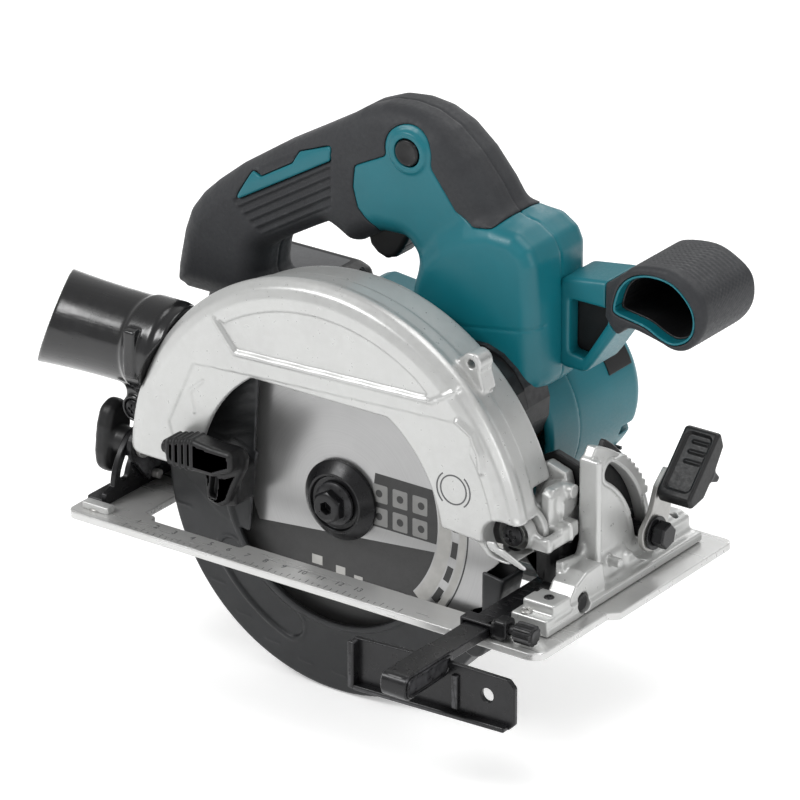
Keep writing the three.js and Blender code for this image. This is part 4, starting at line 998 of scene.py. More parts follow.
def case_screws():
    """Cross-head screws on the case and beside it."""
    screw("depth_pivot_head", 1, (DEPTH[0], -40.4, DEPTH[1]), -1, 4.8, "black_steel", "tilt_frame",
          ("depth_pivot_screw",), neck=22)
    ring = Solid()
    ring.sweep(1, circle(68.5, 54, 6.7, 60), CASE_OUT + 0.5, CASE_OUT + 1.2,
        holes=[circle(68.5, 54, 6.1, 60)])
    for start in (-50, 130):
        ring.sweep(1, band(68.5, 54, 8.0, 8.6, start, start + 100, 20), CASE_OUT + 0.5, CASE_OUT + 1.2)
    solid_piece(ring, "case_ring_mark", "print_grey", "saw")
    for k, (x, z, y) in enumerate(((-81.5, 36, -46.4),)):
        screw(f"case_screw_{k + 1}", 1, (x, y - 0.2, z), -1, 3.0, "steel", "saw")


def screw(name, axis, place, facing, r, look, body, replaced=(), neck=3.0, hex_key=False):
    """A domed screw head with a cross cut in it; place is the top of its head and facing its way out."""
    space_low, space_high = np.array(place, float), np.array(place, float)
    for k in range(3):
        if k == axis:
            ends = sorted((place[k] + 0.4 * facing, place[k] - facing * (neck + 2.4)))
            space_low[k], space_high[k] = ends
        else:
            space_low[k], space_high[k] = place[k] - r - 0.4, place[k] + r + 0.4
    space = Space(space_low, space_high, max(0.22, r / 16))
    u, v = [k for k in range(3) if k != axis]
    centre = np.array(place, float)
    centre[axis] -= facing * 2.1 * r
    head = meet(space.ball(*centre, 2.1 * r),
                space.rod(axis, place[u], place[v], r, place[axis] + facing, place[axis] - 2.4 * facing),
                0.4)
    stem = space.rod(axis, place[u], place[v], 0.42 * r, place[axis] - facing,
        place[axis] - facing * (neck + 2))
    depth = 1.5
    arms = [[0.55 * r, 0.14 * r], [0.14 * r, 0.55 * r]]
    if hex_key:
        recess = space.sweep(axis, [[place[u] + 0.5 * r * math.cos(a), place[v] + 0.5 * r * math.sin(a)]
                                    for a in np.radians(range(0, 360, 60))],
                             place[axis] + facing, place[axis] - facing * 2.0)
        head = cut(head, recess, 0.15)
    else:
        for a, b in arms:
            outline = rect(place[u] - a, place[u] + a, place[v] - b, place[v] + b)
            head = cut(head, space.sweep(axis, outline, place[axis] + facing, place[axis] - facing * depth),
                0.15)
    field_piece(space, name, join(head, stem, 0.3), look, body, replaced)


# ---- lower guard and its lever ----
def lower_guard():
    space = Space((-88, -47.6, -62.4), (88, -17.2, 108), 0.7)
    r = high("lower_guard")[0] - ARBOR[0]
    r = max(r, 87.2)
    shell = space.turn(1, *ARBOR, soft([[56, -37], [r, -37], [r, -21], [20.6, -21], [20.6, -22.6],
        [85.5, -22.6],
                                        [85.5, -35.3], [56, -35.3]], 1.0))
    keep = space.flat(1, arc(*ARBOR, 97, 176, 352, 40) + [list(ARBOR)])
    shell = meet(shell, keep, 0.6)
    hub = space.turn(1, *ARBOR, rect(20.6, 25, -22.6, -17.5))
    tab = space.sweep(1, band(*ARBOR, 42, 57, 162, 182, 12), -37, -35.3, 0.5)
    upper = space.sweep(1, band(*ARBOR, 56, r - 0.4, 165, 177, 12), -37, -35.3, 0.5)
    rim = space.turn(1, *ARBOR, soft(rect(55.2, 58, -38.2, -35.4), 0.8))
    rim = meet(rim, keep)
    nose = space.rod(1, 78, -14, 6, -47, -36, 1.5)
    brace = space.sweep(1, soft([[78, -8], [84, -14], [79, -20], [70, -24], [66, -10]], 3), -41, -36, 1.2)
    shell = join(join(join(shell, hub), join(tab, upper)), join(rim, join(nose, brace, 2)), 0.8)
    # The window is sunk, not cut through the wall: its dark floor is painted shade where the real opening
    # shows only shadow.
    window = space.sweep(1, slot_arc(*ARBOR, 66, 6, 214, 250), -40, -34)
    shell = np.maximum(shell, -meet(window, space.between(1, -40, -36.1), 0.3))
    shell = cut(shell, space.block(20, 75.5, -42, -33, -8, 40, 3), 1.2)
    shell = join(shell, guard_wing(space), 0.5)
    border = ridge(space.flat(1, slot_arc(*ARBOR, 66, 7.4, 214, 250)), 1.1) * step_up(-36.2 - space.y, 1)
    shell = shell - 0.5 * border - 0.35 * degree_marks(space) * step_up(-36.2 - space.y, 1)
    field_piece(space, "swinging_guard", shell, "guard", "lower_guard", ("lower_guard",))
    guard_lever()


def guard_wing(space):
    """The near wall where it reaches up behind the case, ending along an almost upright edge."""
    outline = [[-44.5, 0], [-40, 60], [-39, 74]] + arc(*ARBOR, 80, 122, 184, 20) + [[-60, 4]]
    ribs = 0.35 * np.cos(2 * np.pi * (space.z - 0.4 * space.x) / 6.5) * step_up(space.z - 40, 6)
    return space.sweep(1, soft(outline, 2), -37, -35.3, 0.5) + 0.3 * np.clip(ribs, 0, 1)


def degree_marks(space):
    """Short raised marks round the guard."""
    marks = 0
    for angle in (196, 209, 222, 235, 248, 261, 274):
        a = math.radians(angle)
        x, z = ARBOR[0] + 79 * math.cos(a), ARBOR[1] + 79 * math.sin(a)
        marks = np.maximum(marks, ridge(space.line(1, [[x - 6.5, z + 0.4], [x + 0.5, z]]), 0.7))
    return marks


BLOCK = [[-37.5, 45.5], [-35, 42.5], [-35.5, 37], [-40, 28], [-43, 20.5], [-48, 17], [-54.5, 19],
    [-55.5, 27],
         [-57, 38], [-50, 45]]
THUMB = [[-73.5, 41.8], [-70.5, 45.4], [-57.5, 48.6], [-47, 47.4], [-36, 47.2], [-35.5, 39], [-46, 34],
    [-57.5, 34],
         [-69, 33.8]]


def guard_lever():
    space = Space((-76, -63, 8), (-33, -36.4, 52), 0.5)
    root = space.sweep(1, soft(BLOCK, 2.5), -54, -48.0, 1.8)
    neck = space.sweep(1, soft([[-41.5, 18], [-48, 16], [-50.5, 30], [-46, 37], [-40.5, 34]], 2), -50, -36.9,
        1.0)
    paddle = space.sweep(1, soft(THUMB, 2.5), -61, -50.5, 2.2)
    along = space.x + 72.5
    grip = np.clip(np.cos(2 * np.pi * along / 3.1), 0, 1) * step_up(15.5 - along, 2)
    shape = join(join(root, neck, 2), paddle - 0.8 * grip, 3)
    hole = space.sweep(1, soft([[-53.2, 21.5], [-49.4, 20.5], [-48, 31], [-51.6, 32]], 2.2), -60, -50.4)
    shape = cut(shape, hole, 0.7)
    field_piece(space, "guard_thumb_lever", shape, "black", "lower_guard", ("guard_lever",))


# ---- dust nozzle ----
def dust_nozzle():
    space = Space((-160.6, -53, 33), (-78, -3, 95), 0.7)
    y, z = -28.0, 70.4
    flare = 1.7 * np.clip((-118 - space.x) / 40, 0, 1) ** 1.8
    radius = np.hypot(space.y - y, space.z - z)
    tube = meet(radius - (19.8 + flare), space.between(0, -168, -84), 1)
    bore = meet(radius - (18.2 + flare), space.between(0, -170, -106))
    slant = -0.843 * (space.x + 154.5) - 0.423 * (space.y - y) + 0.333 * (space.z - 72.1)
    slant = np.maximum(slant, -159.4 - space.x)
    collar = meet(radius - 20.6, space.between(0, -104, -90), 1.2)
    body = join(tube, collar, 2.5)
    skirt = [[-112, 62], [-98, 62], [-92, 74], [-93, 56], [-101, 46], [-106, 35.6], [-110.5, 36], [-112, 46]]
    web = space.sweep(1, soft(skirt, 3), -36, -20, 3)
    body = join(body, web, 4)
    body = cut(body, bore)
    body = meet(body, slant, 1.0)
    body = cut(body, space.sweep(0, soft(rect(-40.5, -19.5, 55.5, 84.5), 4), -116, -70))
    clip = space.sweep(0, soft(rect(-49.4, -44, 62, 84), 1.5), -101.5, -95.5, 0.8)
    body = join(body, clip, 0.8)
    case_room = space.turn(1, *ARBOR, rect(-20, 101.4, -60, 0))
    throat = space.sweep(0, soft(rect(-40.6, -15.4, 56.4, 83.6), 5), -112, -79)
    body = cut(body, cut(case_room, throat))
    body = cut(body, space.turn(1, *ARBOR, rect(-20, 89.4, -60, 0)))
    body = join(body, space.rod(1, -105.9, 42, 6.0, -38, -22, 1.2), 1.5)
    body = cut(body, space.rod(1, -105.9, 42, 4.6, -60, -36.6), 0.4)
    field_piece(space, "dust_nozzle_horn", body, "gloss", replaced=("dust_nozzle",))
    screw("dust_nozzle_screw", 1, (-105.9, -38.6, 42), -1, 4.0, "black_steel", "saw", ("nozzle_screw",),
        neck=8)


# ---- front grip ----
KNOB_HOLE = [
    [104.6, 122.4], [107.3, 131], [112.8, 136.6], [121, 139.3], [130.5, 138.7], [137.3, 134.4],
    [141.7, 128.3],
    [142, 121.1], [138.6, 116], [132.5, 113.3], [126.4, 114.7], [119.6, 117.8], [111.4, 119.3], [106, 120.3],
]
KNOB_OUTER = [
    [102.6, 114.6], [101.9, 121.7], [103.9, 131.9], [108.6, 138.6], [114.8, 142.6], [129.1, 144.4],
    [139.3, 141],
    [146.8, 135.1], [148.5, 126.4], [146.1, 118.6], [140, 111.8], [133.2, 109.8], [125, 111.9],
    [112.8, 114.4],
]
BRACKET = [[75.3, 88], [88.5, 88], [92, 92.5], [105, 112], [109, 121], [107, 132], [96, 131], [75.3, 128]]
BRACKET_GAP = [[80.5, 95.5], [88, 94.5], [99.5, 113], [99, 119.5], [80.5, 119.5]]


def front_grip():
    y0, y1 = low("front_knob")[1], high("front_knob")[1]
    space = Space((71, y0 - 0.5, 86), (150, y1 + 0.5, 146), 0.56)
    hole = space.flat(1, smooth_run(KNOB_HOLE, 4))
    outer = space.flat(1, smooth_run(KNOB_OUTER, 4))
    length = space.between(1, y0, y1)
    tube = meet(hole - 2.2, space.between(1, y0 + 3, y1), 0.8)
    tube = join(tube, meet(hole - 1.1, length, 0.4))
    frame_shape = space.sweep(1, soft(BRACKET, 4), y0 + 2, y0 + 27, 2.4)
    frame_shape = cut(frame_shape, space.flat(1, soft(BRACKET_GAP, 2)), 1.6)
    web = space.sweep(1, soft(BRACKET, 4), y0 + 12, y0 + 14.5)
    stem = space.block(71.5, 79, 24.5, 35.5, 95, 127, 1)
    teal = join(join(frame_shape, tube, 2.5), stem)
    teal = join(teal, meet(web, space.block(78, 83, y0, y0 + 30, 90, 124)), 0.6)
    teal = cut(teal, space.sweep(1, soft(BRACKET_GAP, 2), y0 + 9.4, y0 + 12.6, 0.0, offset=-1.0))
    teal = cut(teal, meet(hole, space.between(1, y0 - 9, y1 + 9)), 0.6)
    skirt = space.sweep(1, soft([[98.6, 116], [98.6, 131], [108, 137], [114, 118], [104.5, 109]], 2),
        y0 + 1.2, y0 + 27, 1.6)
    sleeve = join(meet(outer, space.between(1, y0 - 0.2, y1 - 0.6), 2.6), skirt, 3)
    teal = cut(teal, cut(skirt - 0.3, hole - 2.2))
    sleeve = cut(sleeve, meet(hole - 2.45, space.between(1, y0 + 2.6, y1 + 5)))
    sleeve = cut(sleeve, hole - 1.35)
    sleeve = cut(sleeve, cut(frame_shape, skirt - 0.3) - 0.35, 0.4)
    texture = 0.16 * np.cos(2 * np.pi * (space.x + 2 * space.z) / 3.0) * np.cos(2 * np.pi * (space.y) / 2.6)
    sleeve = sleeve + texture * step_up(space.y - (y0 + 6), 3) * step_up((y1 - 5) - space.y, 3)
    field_piece(space, "front_grip_frame", teal, "teal", replaced=("front_knob",))
    field_piece(space, "front_grip_rubber", sleeve, "rubber", replaced=("knob_rubber",))
    lining = meet(hole, space.between(1, y0 + 5, y1 - 1))
    lining = cut(lining, meet(hole + 0.9, space.between(1, y0, y1 - 3)))
    window = space.sweep(1, soft(BRACKET_GAP, 2), y0 + 9.6, y0 + 12.4, 0.0, offset=-0.8)
    field_piece(space, "front_grip_lining", np.minimum(lining, window), "black")


# ---- base plate ----
def digits(text, size, x, y, z, thick=0.12):
    """Figures as closed thin bodies lying on a surface that faces up."""
    curve = bpy.data.curves.new("figures", "FONT")
    curve.body, curve.size, curve.extrude = text, size * MM, thick * MM
    curve.align_x, curve.align_y = "CENTER", "CENTER"
    holder = bpy.data.objects.new("figures", curve)
    mesh = bpy.data.meshes.new_from_object(holder)
    places = [(v.co.x / MM + x, v.co.y / MM + y, v.co.z / MM + z) for v in mesh.vertices]
    faces = [list(p.vertices) for p in mesh.polygons]
    bpy.data.objects.remove(holder)
    bpy.data.meshes.remove(mesh)
    return places, faces


def base_plate():
    x0, x1 = low("base_plate")[0], high("base_plate")[0]
    y0, y1 = low("base_plate")[1], high("base_plate")[1]
    step = x1 - 4
    outline = (arc(x0 + 5, y0 + 5, 5, 180, 270, 8) + arc(step - 7, y0 + 7, 7, -90, 0, 10)
               + [[step, -20], [x1, -16]] + arc(x1 - 4, y1 - 4, 4, 0, 90, 8) + arc(x0 + 4, y1 - 4, 4, 90,
               180, 8))
    opening = [[-88.5, -53], [-82, -53], [-82, -57], [-34, -57], [-34, -53], [87.5, -53], [87.5, -8],
        [-88.5, -8]]
    plate = Solid().sweep(2, outline, 0, 3.5, holes=[soft(opening, 2)], edge=0.35)
    solid_piece(plate, "sole_plate", "plate", "base", ("base_plate",), bevel=0.3)
    ribs = Solid()
    ribs.sweep(2, soft(rect(-100, 84, 40, 44), 1.9), 3.2, 5.5, edge=0.5)
    ribs.sweep(2, soft(rect(-112, 96, -5.4, -3.6), 0.8), 3.2, 4.6, edge=0.3)
    solid_piece(ribs, "sole_ribs", "plate", "base", bevel=0.2)
    base_scale()
    corner = Solid().sweep(2, soft(rect(-113.5, -99.5, -64.5, -59.2), 1), 3.3, 6.6, edge=0.5)
    solid_piece(corner, "sole_corner_block", "silver", "base", bevel=0.3)
    for k, (x, y) in enumerate(((-107, -62), (-108, 56), (96, 52))):
        screw(f"sole_screw_{k + 1}", 2, (x, y, 5.2), 1, 3.4, "steel", "base", neck=1.5)


def base_scale():
    """The ruler along the near strip: fine ticks and plain figures."""
    marks = Solid()
    for k in range(46):
        x = -88 + 3.2 * k
        length = 3.0 if k % 3 == 0 else 1.6
        marks.sweep(2, rect(x - 0.15, x + 0.15, -68.6, -68.6 + length), 3.42, 3.56)
    for k in range(13):
        marks.add(*digits(str(k + 1), 4.4, -85 + 9.6 * k, -61.5, 3.46))
    solid_piece(marks, "sole_scale", "print_grey", "base")


# ---- front castings ----
def quadrant_slot(grow):
    return slot_arc(*BEVEL, 55, 4.1 + grow, 12.5, 57)


def front_quadrant():
    space = Space((101.5, -55.3, 3.4), (121.6, 62.5, 70), 0.5)
    foot = space.block(102.2, 120.8, -54.6, 61.6, 3.9, 8.2, 1.0)
    near_block = space.block(102.2, 120.4, -54.4, -30, 3.9, 11.2, 1.0)
    tier = space.block(100, 130, -60, -29, 7.3, 7.9)
    near_block = near_block + 0.5 * ridge(tier + 0.3, 0.8)
    body = space.block(104, 115.4, 12, 60.6, 5, 15.4, 2.0)
    skirt = space.sweep(1, soft([[104, 5], [119.5, 5], [114.5, 10], [112, 17], [104, 17]], 2), -6, 60, 2.0)
    face = [[-9.5, 8], [40, 8]] + arc(*BEVEL, 64, 5, 71, 40) + [[-9.5, 65]]
    upright = space.sweep(0, soft(face, 2.5, 4), 106.3, 111.6, 1.0)
    radius = np.hypot(space.y - BEVEL[0], space.z - BEVEL[1])
    angle = np.degrees(np.arctan2(space.z - BEVEL[1], space.y - BEVEL[0]))
    teeth = np.clip(np.cos(2 * np.pi * angle / 3.9) * 1.6, -1, 1)
    rim = meet(meet(radius - 64.2 - 0.5 * teeth, 59.8 - radius, 0.5), space.between(0, 108, 112.7 + 0.4),
        0.4)
    rim = meet(rim, meet(space.z - 60, 36 - space.z))
    border = space.sweep(0, quadrant_slot(2.1), 107, 112.5, 0.5)
    flange = space.block(105.6, 115.7, -10.8, -7.2, 6, 65, 1.3)
    gusset = space.sweep(0, soft([[-27.6, 8], [-27.4, 24.6], [-13.2, 22.6], [-6.8, 31], [-6, 8]], 1.2),
        105.6, 109.6, 1.2)
    lug = space.sweep(0, soft([[-35.5, 8], [-35.5, 13], [-31.5, 18], [-24, 21.4], [-12, 22], [-9, 8]], 3),
        107, 119.4, 1.0)
    block = space.block(104.5, 120.2, -49.2, -36.6, 9, 16, 1.0)
    shape = join(join(foot, near_block, 0.8), join(upright, skirt, 4), 2)
    shape = join(join(shape, body, 2), join(flange, gusset, 1.5), 1.5)
    shape = join(join(shape, lug, 1.5), block, 1.5)
    shape = join(join(shape, rim, 0.4), border, 0.4)
    shape = join(shape, space.rod(0, 2, 15.5, 2.1, 110, 119, 0.6), 1.0)
    shape = cut(shape, space.sweep(0, quadrant_slot(0), 100, 125), 0.5)
    shape = cut(shape, space.rod(0, *BEVEL, 2.8, 95, 130), 0.3)
    shape = cut(shape, space.rod(0, *BEVEL, 4.6, 117.6, 130), 0.3)
    shape = cut(shape, space.rod(0, *BEVEL, 6.2, 95, 106.85))
    shape = cut(shape, space.block(95, 106.15, -41, -5.7, 0, 17.2))
    shape = cut(shape, space.rod(2, 111.5, 53, 1.7, 10, 20), 0.3)
    shape = cut(shape, space.rod(0, *BOLT, 12.2, 112.0, 125), 0.4)
    field_piece(space, "front_bevel_quadrant", shape, "silver", "base", ("front_quadrant",))
    pin = Solid().turn(0, *BEVEL, [[0, 101.9], [2.4, 101.9], [2.4, 118], [4.0, 118], [4.0, 118.8],
        [3.4, 119.3], [0, 119.3]], 40)
    solid_piece(pin, "front_bevel_pivot", "black_steel", "base", ("front_bevel_pin",), bevel=0.2)
    screw("quadrant_screw_near", 2, (108, -51.5 + 0.1, 12.6), 1, 2.6, "steel", "base", neck=1.5)
    screw("quadrant_screw_step", 2, (113.5, -43, 17.0), 1, 2.2, "black_steel", "base", neck=1.5,
        hex_key=True)


def front_bracket():
    space = Space((81, -36, 3.8), (109, 34.5, 60), 0.5)
    profile = [
        [-24, 11.5], [-6, 11.5], [6, 14], [31, 14], [33.5, 20], [33.5, 27], [20, 28], [-4, 44], [-9, 52],
        [-22, 53],
        [-24, 50],
    ]
    plate = space.sweep(0, soft(profile, 3), 96, 101.4, 1.2)
    lug = space.sweep(0, soft(arc(*BEVEL, 5, 100, 350, 20) + [[-21, 12], [-14, 12], [-14, 20], [-24, 20]],
        0.5), 100, 105.8, 0.6)
    ear_shape = arc(*DEPTH, 10, 60, 215, 24) + [[88, 22], [97, 12.5], [101.4, 12.5], [101.4, 50], [97, 53]]
    ear = space.sweep(1, soft(ear_shape, 1), -25.5, -16, 1.0)
    seat = space.rod(0, *BOLT, 7, 96, 105.8, 0.6)
    hub = space.rod(0, -13, 45, 6.4, 90.5, 103, 1.6)
    rod = space.rod(0, -12.5, 50, 3.0, 98, 105.2, 0.4)
    boss = space.rod(1, *DEPTH, 7.3, -38.4, -30.8, 1.0)
    finger = space.sweep(1, soft([[93, 31], [100, 29.6], [107.2, 29.6], [108, 34.2], [101, 37], [94, 38]],
        1.8), -35, -30.9, 1.6)
    finger = join(finger, space.block(103.2, 107.4, -34.6, -15, 29.8, 36.4, 1.4), 1.0)
    finger = join(finger, space.block(98.5, 107.4, -25, -12, 31, 38, 1.4), 1.0)
    top = space.sweep(1, soft([[84.5, 42], [84.5, 55.5], [90, 59], [99.5, 56], [101.4, 49], [101.4, 40]],
        1.2), -11.4, -5.5, 1.2)
    plate = join(plate, top, 1.5)
    shape = join(join(plate, lug, 2), join(ear, seat), 2)
    shape = join(join(shape, hub, 2.5), rod, 1.2)
    shape = join(shape, join(boss, finger, 2), 1.0)
    shape = cut(shape, space.rod(1, *DEPTH, 3.3, -60, 0), 0.2)
    shape = cut(shape, space.rod(1, *DEPTH, 5.3, -60, -36.8), 0.3)
    shape = cut(shape, space.rod(0, *BOLT, 3.4, 80, 120), 0.3)
    shape = cut(shape, space.rod(0, *BEVEL, 2.8, 80, 120), 0.3)
    shape = cut(shape, space.block(80, 120, -80, 80, 0, 3.8))
    ribs = ridge(space.line(0, [[-18, 20], [-18, 46]]), 1.4) * step_up(space.x - 100.2, 1)
    shape = shape - 0.7 * ribs
    upper = meet(shape, 30.6 - space.z, 0.5)
    lower = meet(shape, space.z - 30.3, 0.5)
    field_piece(space, "front_tilt_casting", upper, "silver", "tilt_frame", ("front_tilt_bracket",))
    field_piece(space, "front_tilt_foot", lower, "black", "tilt_frame")
    cover = Solid()
    cover.sweep(0, soft(band(*BEVEL, 44, 67.5, 13, 57, 20), 3, 3), 102.4, 105.3, edge=0.5)
    cover.sweep(1, soft([[83, 44], [83, 57.5], [90, 61.5], [102, 58], [104.5, 50], [104.5, 40], [96, 40]],
        2), -5.2, -1.5, edge=0.5)
    solid_piece(cover, "tilt_frame_cover", "black", "tilt_frame", bevel=0.3)


GRIP_ANGLE = 46


def bevel_lever():
    bolt = Solid()
    bolt.turn(0, *BOLT, [[0, 95], [3, 95], [3, 119.4], [7.4, 119.4], [7.4, 120.4], [0, 120.4]], 48)
    head = turned(circle(0, 0, 5.9, 6), 14, *BOLT)
    bolt.sweep(0, head, 120.3, 126.5, edge=0.7)
    solid_piece(bolt, "bevel_clamp_bolt", "black_steel", "tilt_frame", ("bevel_bolt",), bevel=0.25)
    plate = turned(arc(0, 0, 8.6, 110, 250, 20) + [[6, -7.2], [13, -5], [24, 3.2], [26, 11], [16, 12],
        [6, 8]],
                   GRIP_ANGLE, *BOLT)
    steel = Solid().sweep(0, soft(plate, 1.2, 4), 116.2, 118.8, holes=[circle(*BOLT, 3.3, 24)], edge=0.3)
    solid_piece(steel, "bevel_lever_arm", "steel", "bevel_lever", ("bevel_lever_plate",), bevel=0.2)
    space = Space((118.6, 20, 22), (136.8, 66, 72), 0.42)
    lean = math.radians(GRIP_ANGLE)
    along = (space.y - BOLT[0]) * math.cos(lean) + (space.z - BOLT[1]) * math.sin(lean)
    above = (space.z - BOLT[1]) * math.cos(lean) - (space.y - BOLT[0]) * math.sin(lean)
    outline = turned([[11.5, 8], [13, 13.4], [44.5, 13.4], [46, 11], [43, 5], [30, 2.6], [19, 2.6]],
        GRIP_ANGLE, *BOLT)
    grip = space.sweep(0, soft(outline, 1.6), 119.2, 136.2, 1.6)
    pad = meet(meet(abs(along - 29.5) - 13, abs(space.x - 128) - 6.2, 2.5), 10 - above)
    bars = sum(ridge(along - place, 1.1) for place in (30, 34.5, 39)) * step_up(space.x - 125.5, 1.5)
    bars = bars * step_up(133.4 - space.x, 1.0)
    grip = grip + 1.3 * step_up(-pad, 1.0) - 1.1 * bars * step_up(-pad - 0.8, 0.8)
    fin = space.sweep(0, soft(turned([[26, 4], [29, -2.4], [31.5, -2.4], [32, 4]], GRIP_ANGLE, *BOLT), 1),
        128, 136, 0.8)
    grip = join(grip, fin, 1.2)
    field_piece(space, "bevel_lever_handle", grip, "black", "bevel_lever", ("bevel_lever_grip",))


# ---- rear castings ----
def rear_end():
    quadrant = Solid()
    face = [[-58, 3.8], [8, 3.8], [8, 9]] + arc(*BEVEL, 25, 25, 176, 40) + [[-58, 9]]
    slot = slot_arc(*BEVEL, 18.4, 2.7, 119, 164, 16)
    quadrant.sweep(0, soft(face, 1.5, 3), -108, -105.5, holes=[slot, circle(*BEVEL, 2.4, 24)], edge=0.3)
    quadrant.sweep(2, soft(rect(-116.2, -106, -58, 8), 2), 3.8, 6.2, edge=0.4)
    solid_piece(quadrant, "rear_bevel_quadrant", "black_steel", "base", ("rear_quadrant",), bevel=0.25)
    bracket = Solid()
    face = [[-31, 7], [-4, 7], [-4, 24], [-18, 38]] + arc(*REAR_BOLT, 8, 70, 230, 16)
    bracket.sweep(0, soft(face, 1.5, 3), -105.1, -102.6,
        holes=[circle(*BEVEL, 2.4, 24), circle(*REAR_BOLT, 2.6, 24)], edge=0.3)
    bracket.sweep(1, soft(rect(-103, -92, 6, 24), 1), -9, -6.6, edge=0.3)
    solid_piece(bracket, "rear_tilt_frame", "black_steel", "tilt_frame", ("rear_tilt_bracket",), bevel=0.25)
    space = Space((-128.4, -60, 3.6), (-108, -14, 52), 0.5)
    oval = space.sweep(0, soft(turned([[-13, -6], [-6, -8], [6, -8.5], [14, -7], [18.5, 0], [14, 7],
        [6, 8.5],
                                       [-6, 8], [-13, 6], [-16, 0]], 80, *REAR_BOLT), 7), -123, -114.6, 3.2)
    stem = space.rod(0, *REAR_BOLT, 6.2, -116, -108.6, 0.6)
    hollow = space.rod(0, *REAR_BOLT, 4.6, -130, -121.4, 0.6)
    lever = cut(cut(join(oval, stem, 2), hollow), space.rod(0, *REAR_BOLT, 2.6, -124, -100))
    field_piece(space, "rear_clamp_paddle", lever, "black", "rear_clamp_lever", ("rear_clamp_lever",))
    bolt = Solid().turn(0, *REAR_BOLT,
        [[0, -125.4], [3.4, -125.4], [4.0, -124.8], [4.0, -121.6], [2.3, -121.6], [2.3, -102.3],
                                        [5, -102.3], [5, -100.4], [0, -100.4]], 40)
    solid_piece(bolt, "rear_clamp_stud", "steel", "tilt_frame", ("rear_clamp_bolt",), bevel=0.2)
    pin = Solid().turn(0, *BEVEL, [[0, -110], [2.7, -110], [2.7, -108.3], [2.1, -108.3], [2.1, -100],
        [0, -100]], 32)
    solid_piece(pin, "rear_bevel_pivot", "steel", "base", ("rear_bevel_pin",), bevel=0.2)


# ---- rip guide ----
def rip_guide():
    x0, x1, tip, end = 88.8, 100.8, -127, 60
    arm = Solid()
    arm.sweep(2, soft(rect(x0, x1, tip + 1.2, end), 3.5), 3.8, 8.2, edge=0.5)
    nose = [[tip, 8.6], [tip, -2.2], [-97, -1.4], [-93, 3.9], [-93, 8.6]]
    arm.sweep(0, soft(nose, 4.6, 8), x0 - 0.2, x1 + 0.2, edge=0.5)
    rim = [[tip + 1.2, 7.6], [tip + 1.2, -1.2], [-98, -0.4], [-95, 3.4], [-95, 7.6]]
    well = [[tip + 2.4, 6.4], [tip + 2.4, 0], [-98.6, 0.8], [-96.4, 3.8], [-96.4, 6.4]]
    arm.sweep(0, soft(rim, 3.6, 8), x1 - 0.4, x1 + 0.9, holes=[soft(well, 2.6, 8)], edge=0.25)
    for k in range(26):
        arm.sweep(2, rect(x0 + 3.4, x0 + 6.2 + (1.6 if k % 5 == 0 else 0), -58 + 4 * k, -57.5 + 4 * k), 8.1,
            8.32)
    solid_piece(arm, "rip_guide_arm", "black_steel", "rip_guide", bevel=0.2)
    fence = Solid()
    plate = [[53, -19.5], [131, -17.5], [134, -14.5], [134, 2], [131, 5], [100.4, 5], [53, 2.6]]
    fence.sweep(1, soft(plate, 2.0, 4), -97.4, -95, holes=[circle(120.5, -4.6, 3, 32)], edge=0.35)
    fence.sweep(1, soft([[56, -19.4], [131, -17.4], [131, -15.2], [56, -17.2]], 0.8), -101, -96.4, edge=0.4)
    fence.sweep(1, soft(rect(103.6, 106.8, -15, 0.5), 0.8), -98.6, -97.2, edge=0.25)
    fence.sweep(1, soft(rect(53.4, 56.4, -19, 2.2), 0.8), -101, -96.8, edge=0.4)
    solid_piece(fence, "rip_guide_fence", "black_steel", "rip_guide", ("rip_guide",), bevel=0.2)
    space = Space((84.8, -70, 3.4), (111, -59.4, 14), 0.4)
    strap = space.block(86.2, 108, -68.2, -61.2, 3.8, 10.0, 1.0)
    nut = space.block(103, 109.6, -68.6, -60.9, 5, 13.0, 1.4)
    shape = cut(join(strap, nut, 1.5), space.block(88.2, 101.4, -90, -40, 0, 8.7), 0.3)
    shape = cut(shape, space.rod(0, -64.75, 9, 2.4, 99.5, 130), 0.3)
    field_piece(space, "rip_guide_strap", shape, "black_steel", "base", ("rip_guide_clamp",))
    screw_shape = Solid()
    screw_shape.turn(0, -64.75, 9, [[0, 101.1], [2.1, 101.1], [2.1, 113], [0, 113]], 32)
    ribbed = []
    for k in range(24):
        ribbed += arc(-64.75, 9, 4.6 if k % 2 else 4.1, 15 * k, 15 * k + 8, 1)
    screw_shape.sweep(0, ribbed, 112.6, 121.6, edge=0.6)
    screw_shape.sweep(0, circle(-64.75, 9, 3.2, 32), 121.2, 122, edge=0.3)
    solid_piece(screw_shape, "rip_guide_thumbscrew", "black", "rip_clamp_screw", ("rip_clamp_screw",),
        bevel=0.15)


# ---- blade, flange and bolt ----
def tooth_ring(r):
    outline = []
    for k in range(24):
        a = 15 * k
        for radius, lag in ((r, 0), (r - 6.6, 0.5), (r - 8, 1.6), (r - 8.3, 3.0), (r - 7.4, 4.6),
                (r - 4.4, 7.2),
                            (r - 2.2, 9.4), (r - 1.9, 11), (r - 1.6, 13.0)):
            outline.append([ARBOR[0] + radius * math.cos(math.radians(a + lag)),
                            ARBOR[1] + radius * math.sin(math.radians(a + lag))])
    return outline


def expansion_slot(angle):
    """A fine cut in from between two teeth, ending in a round hole."""
    along = [[74.9 - 13, -0.4], [74.9 - 2, -0.4], [74.9 - 2, 0.4], [74.9 - 13, 0.4]]
    hole = arc(60, 0, 1.6, 15, 345, 10)
    return turned(along[:1] + hole[::-1] + along[3:] + along[2:3] + along[1:2], angle, *ARBOR)


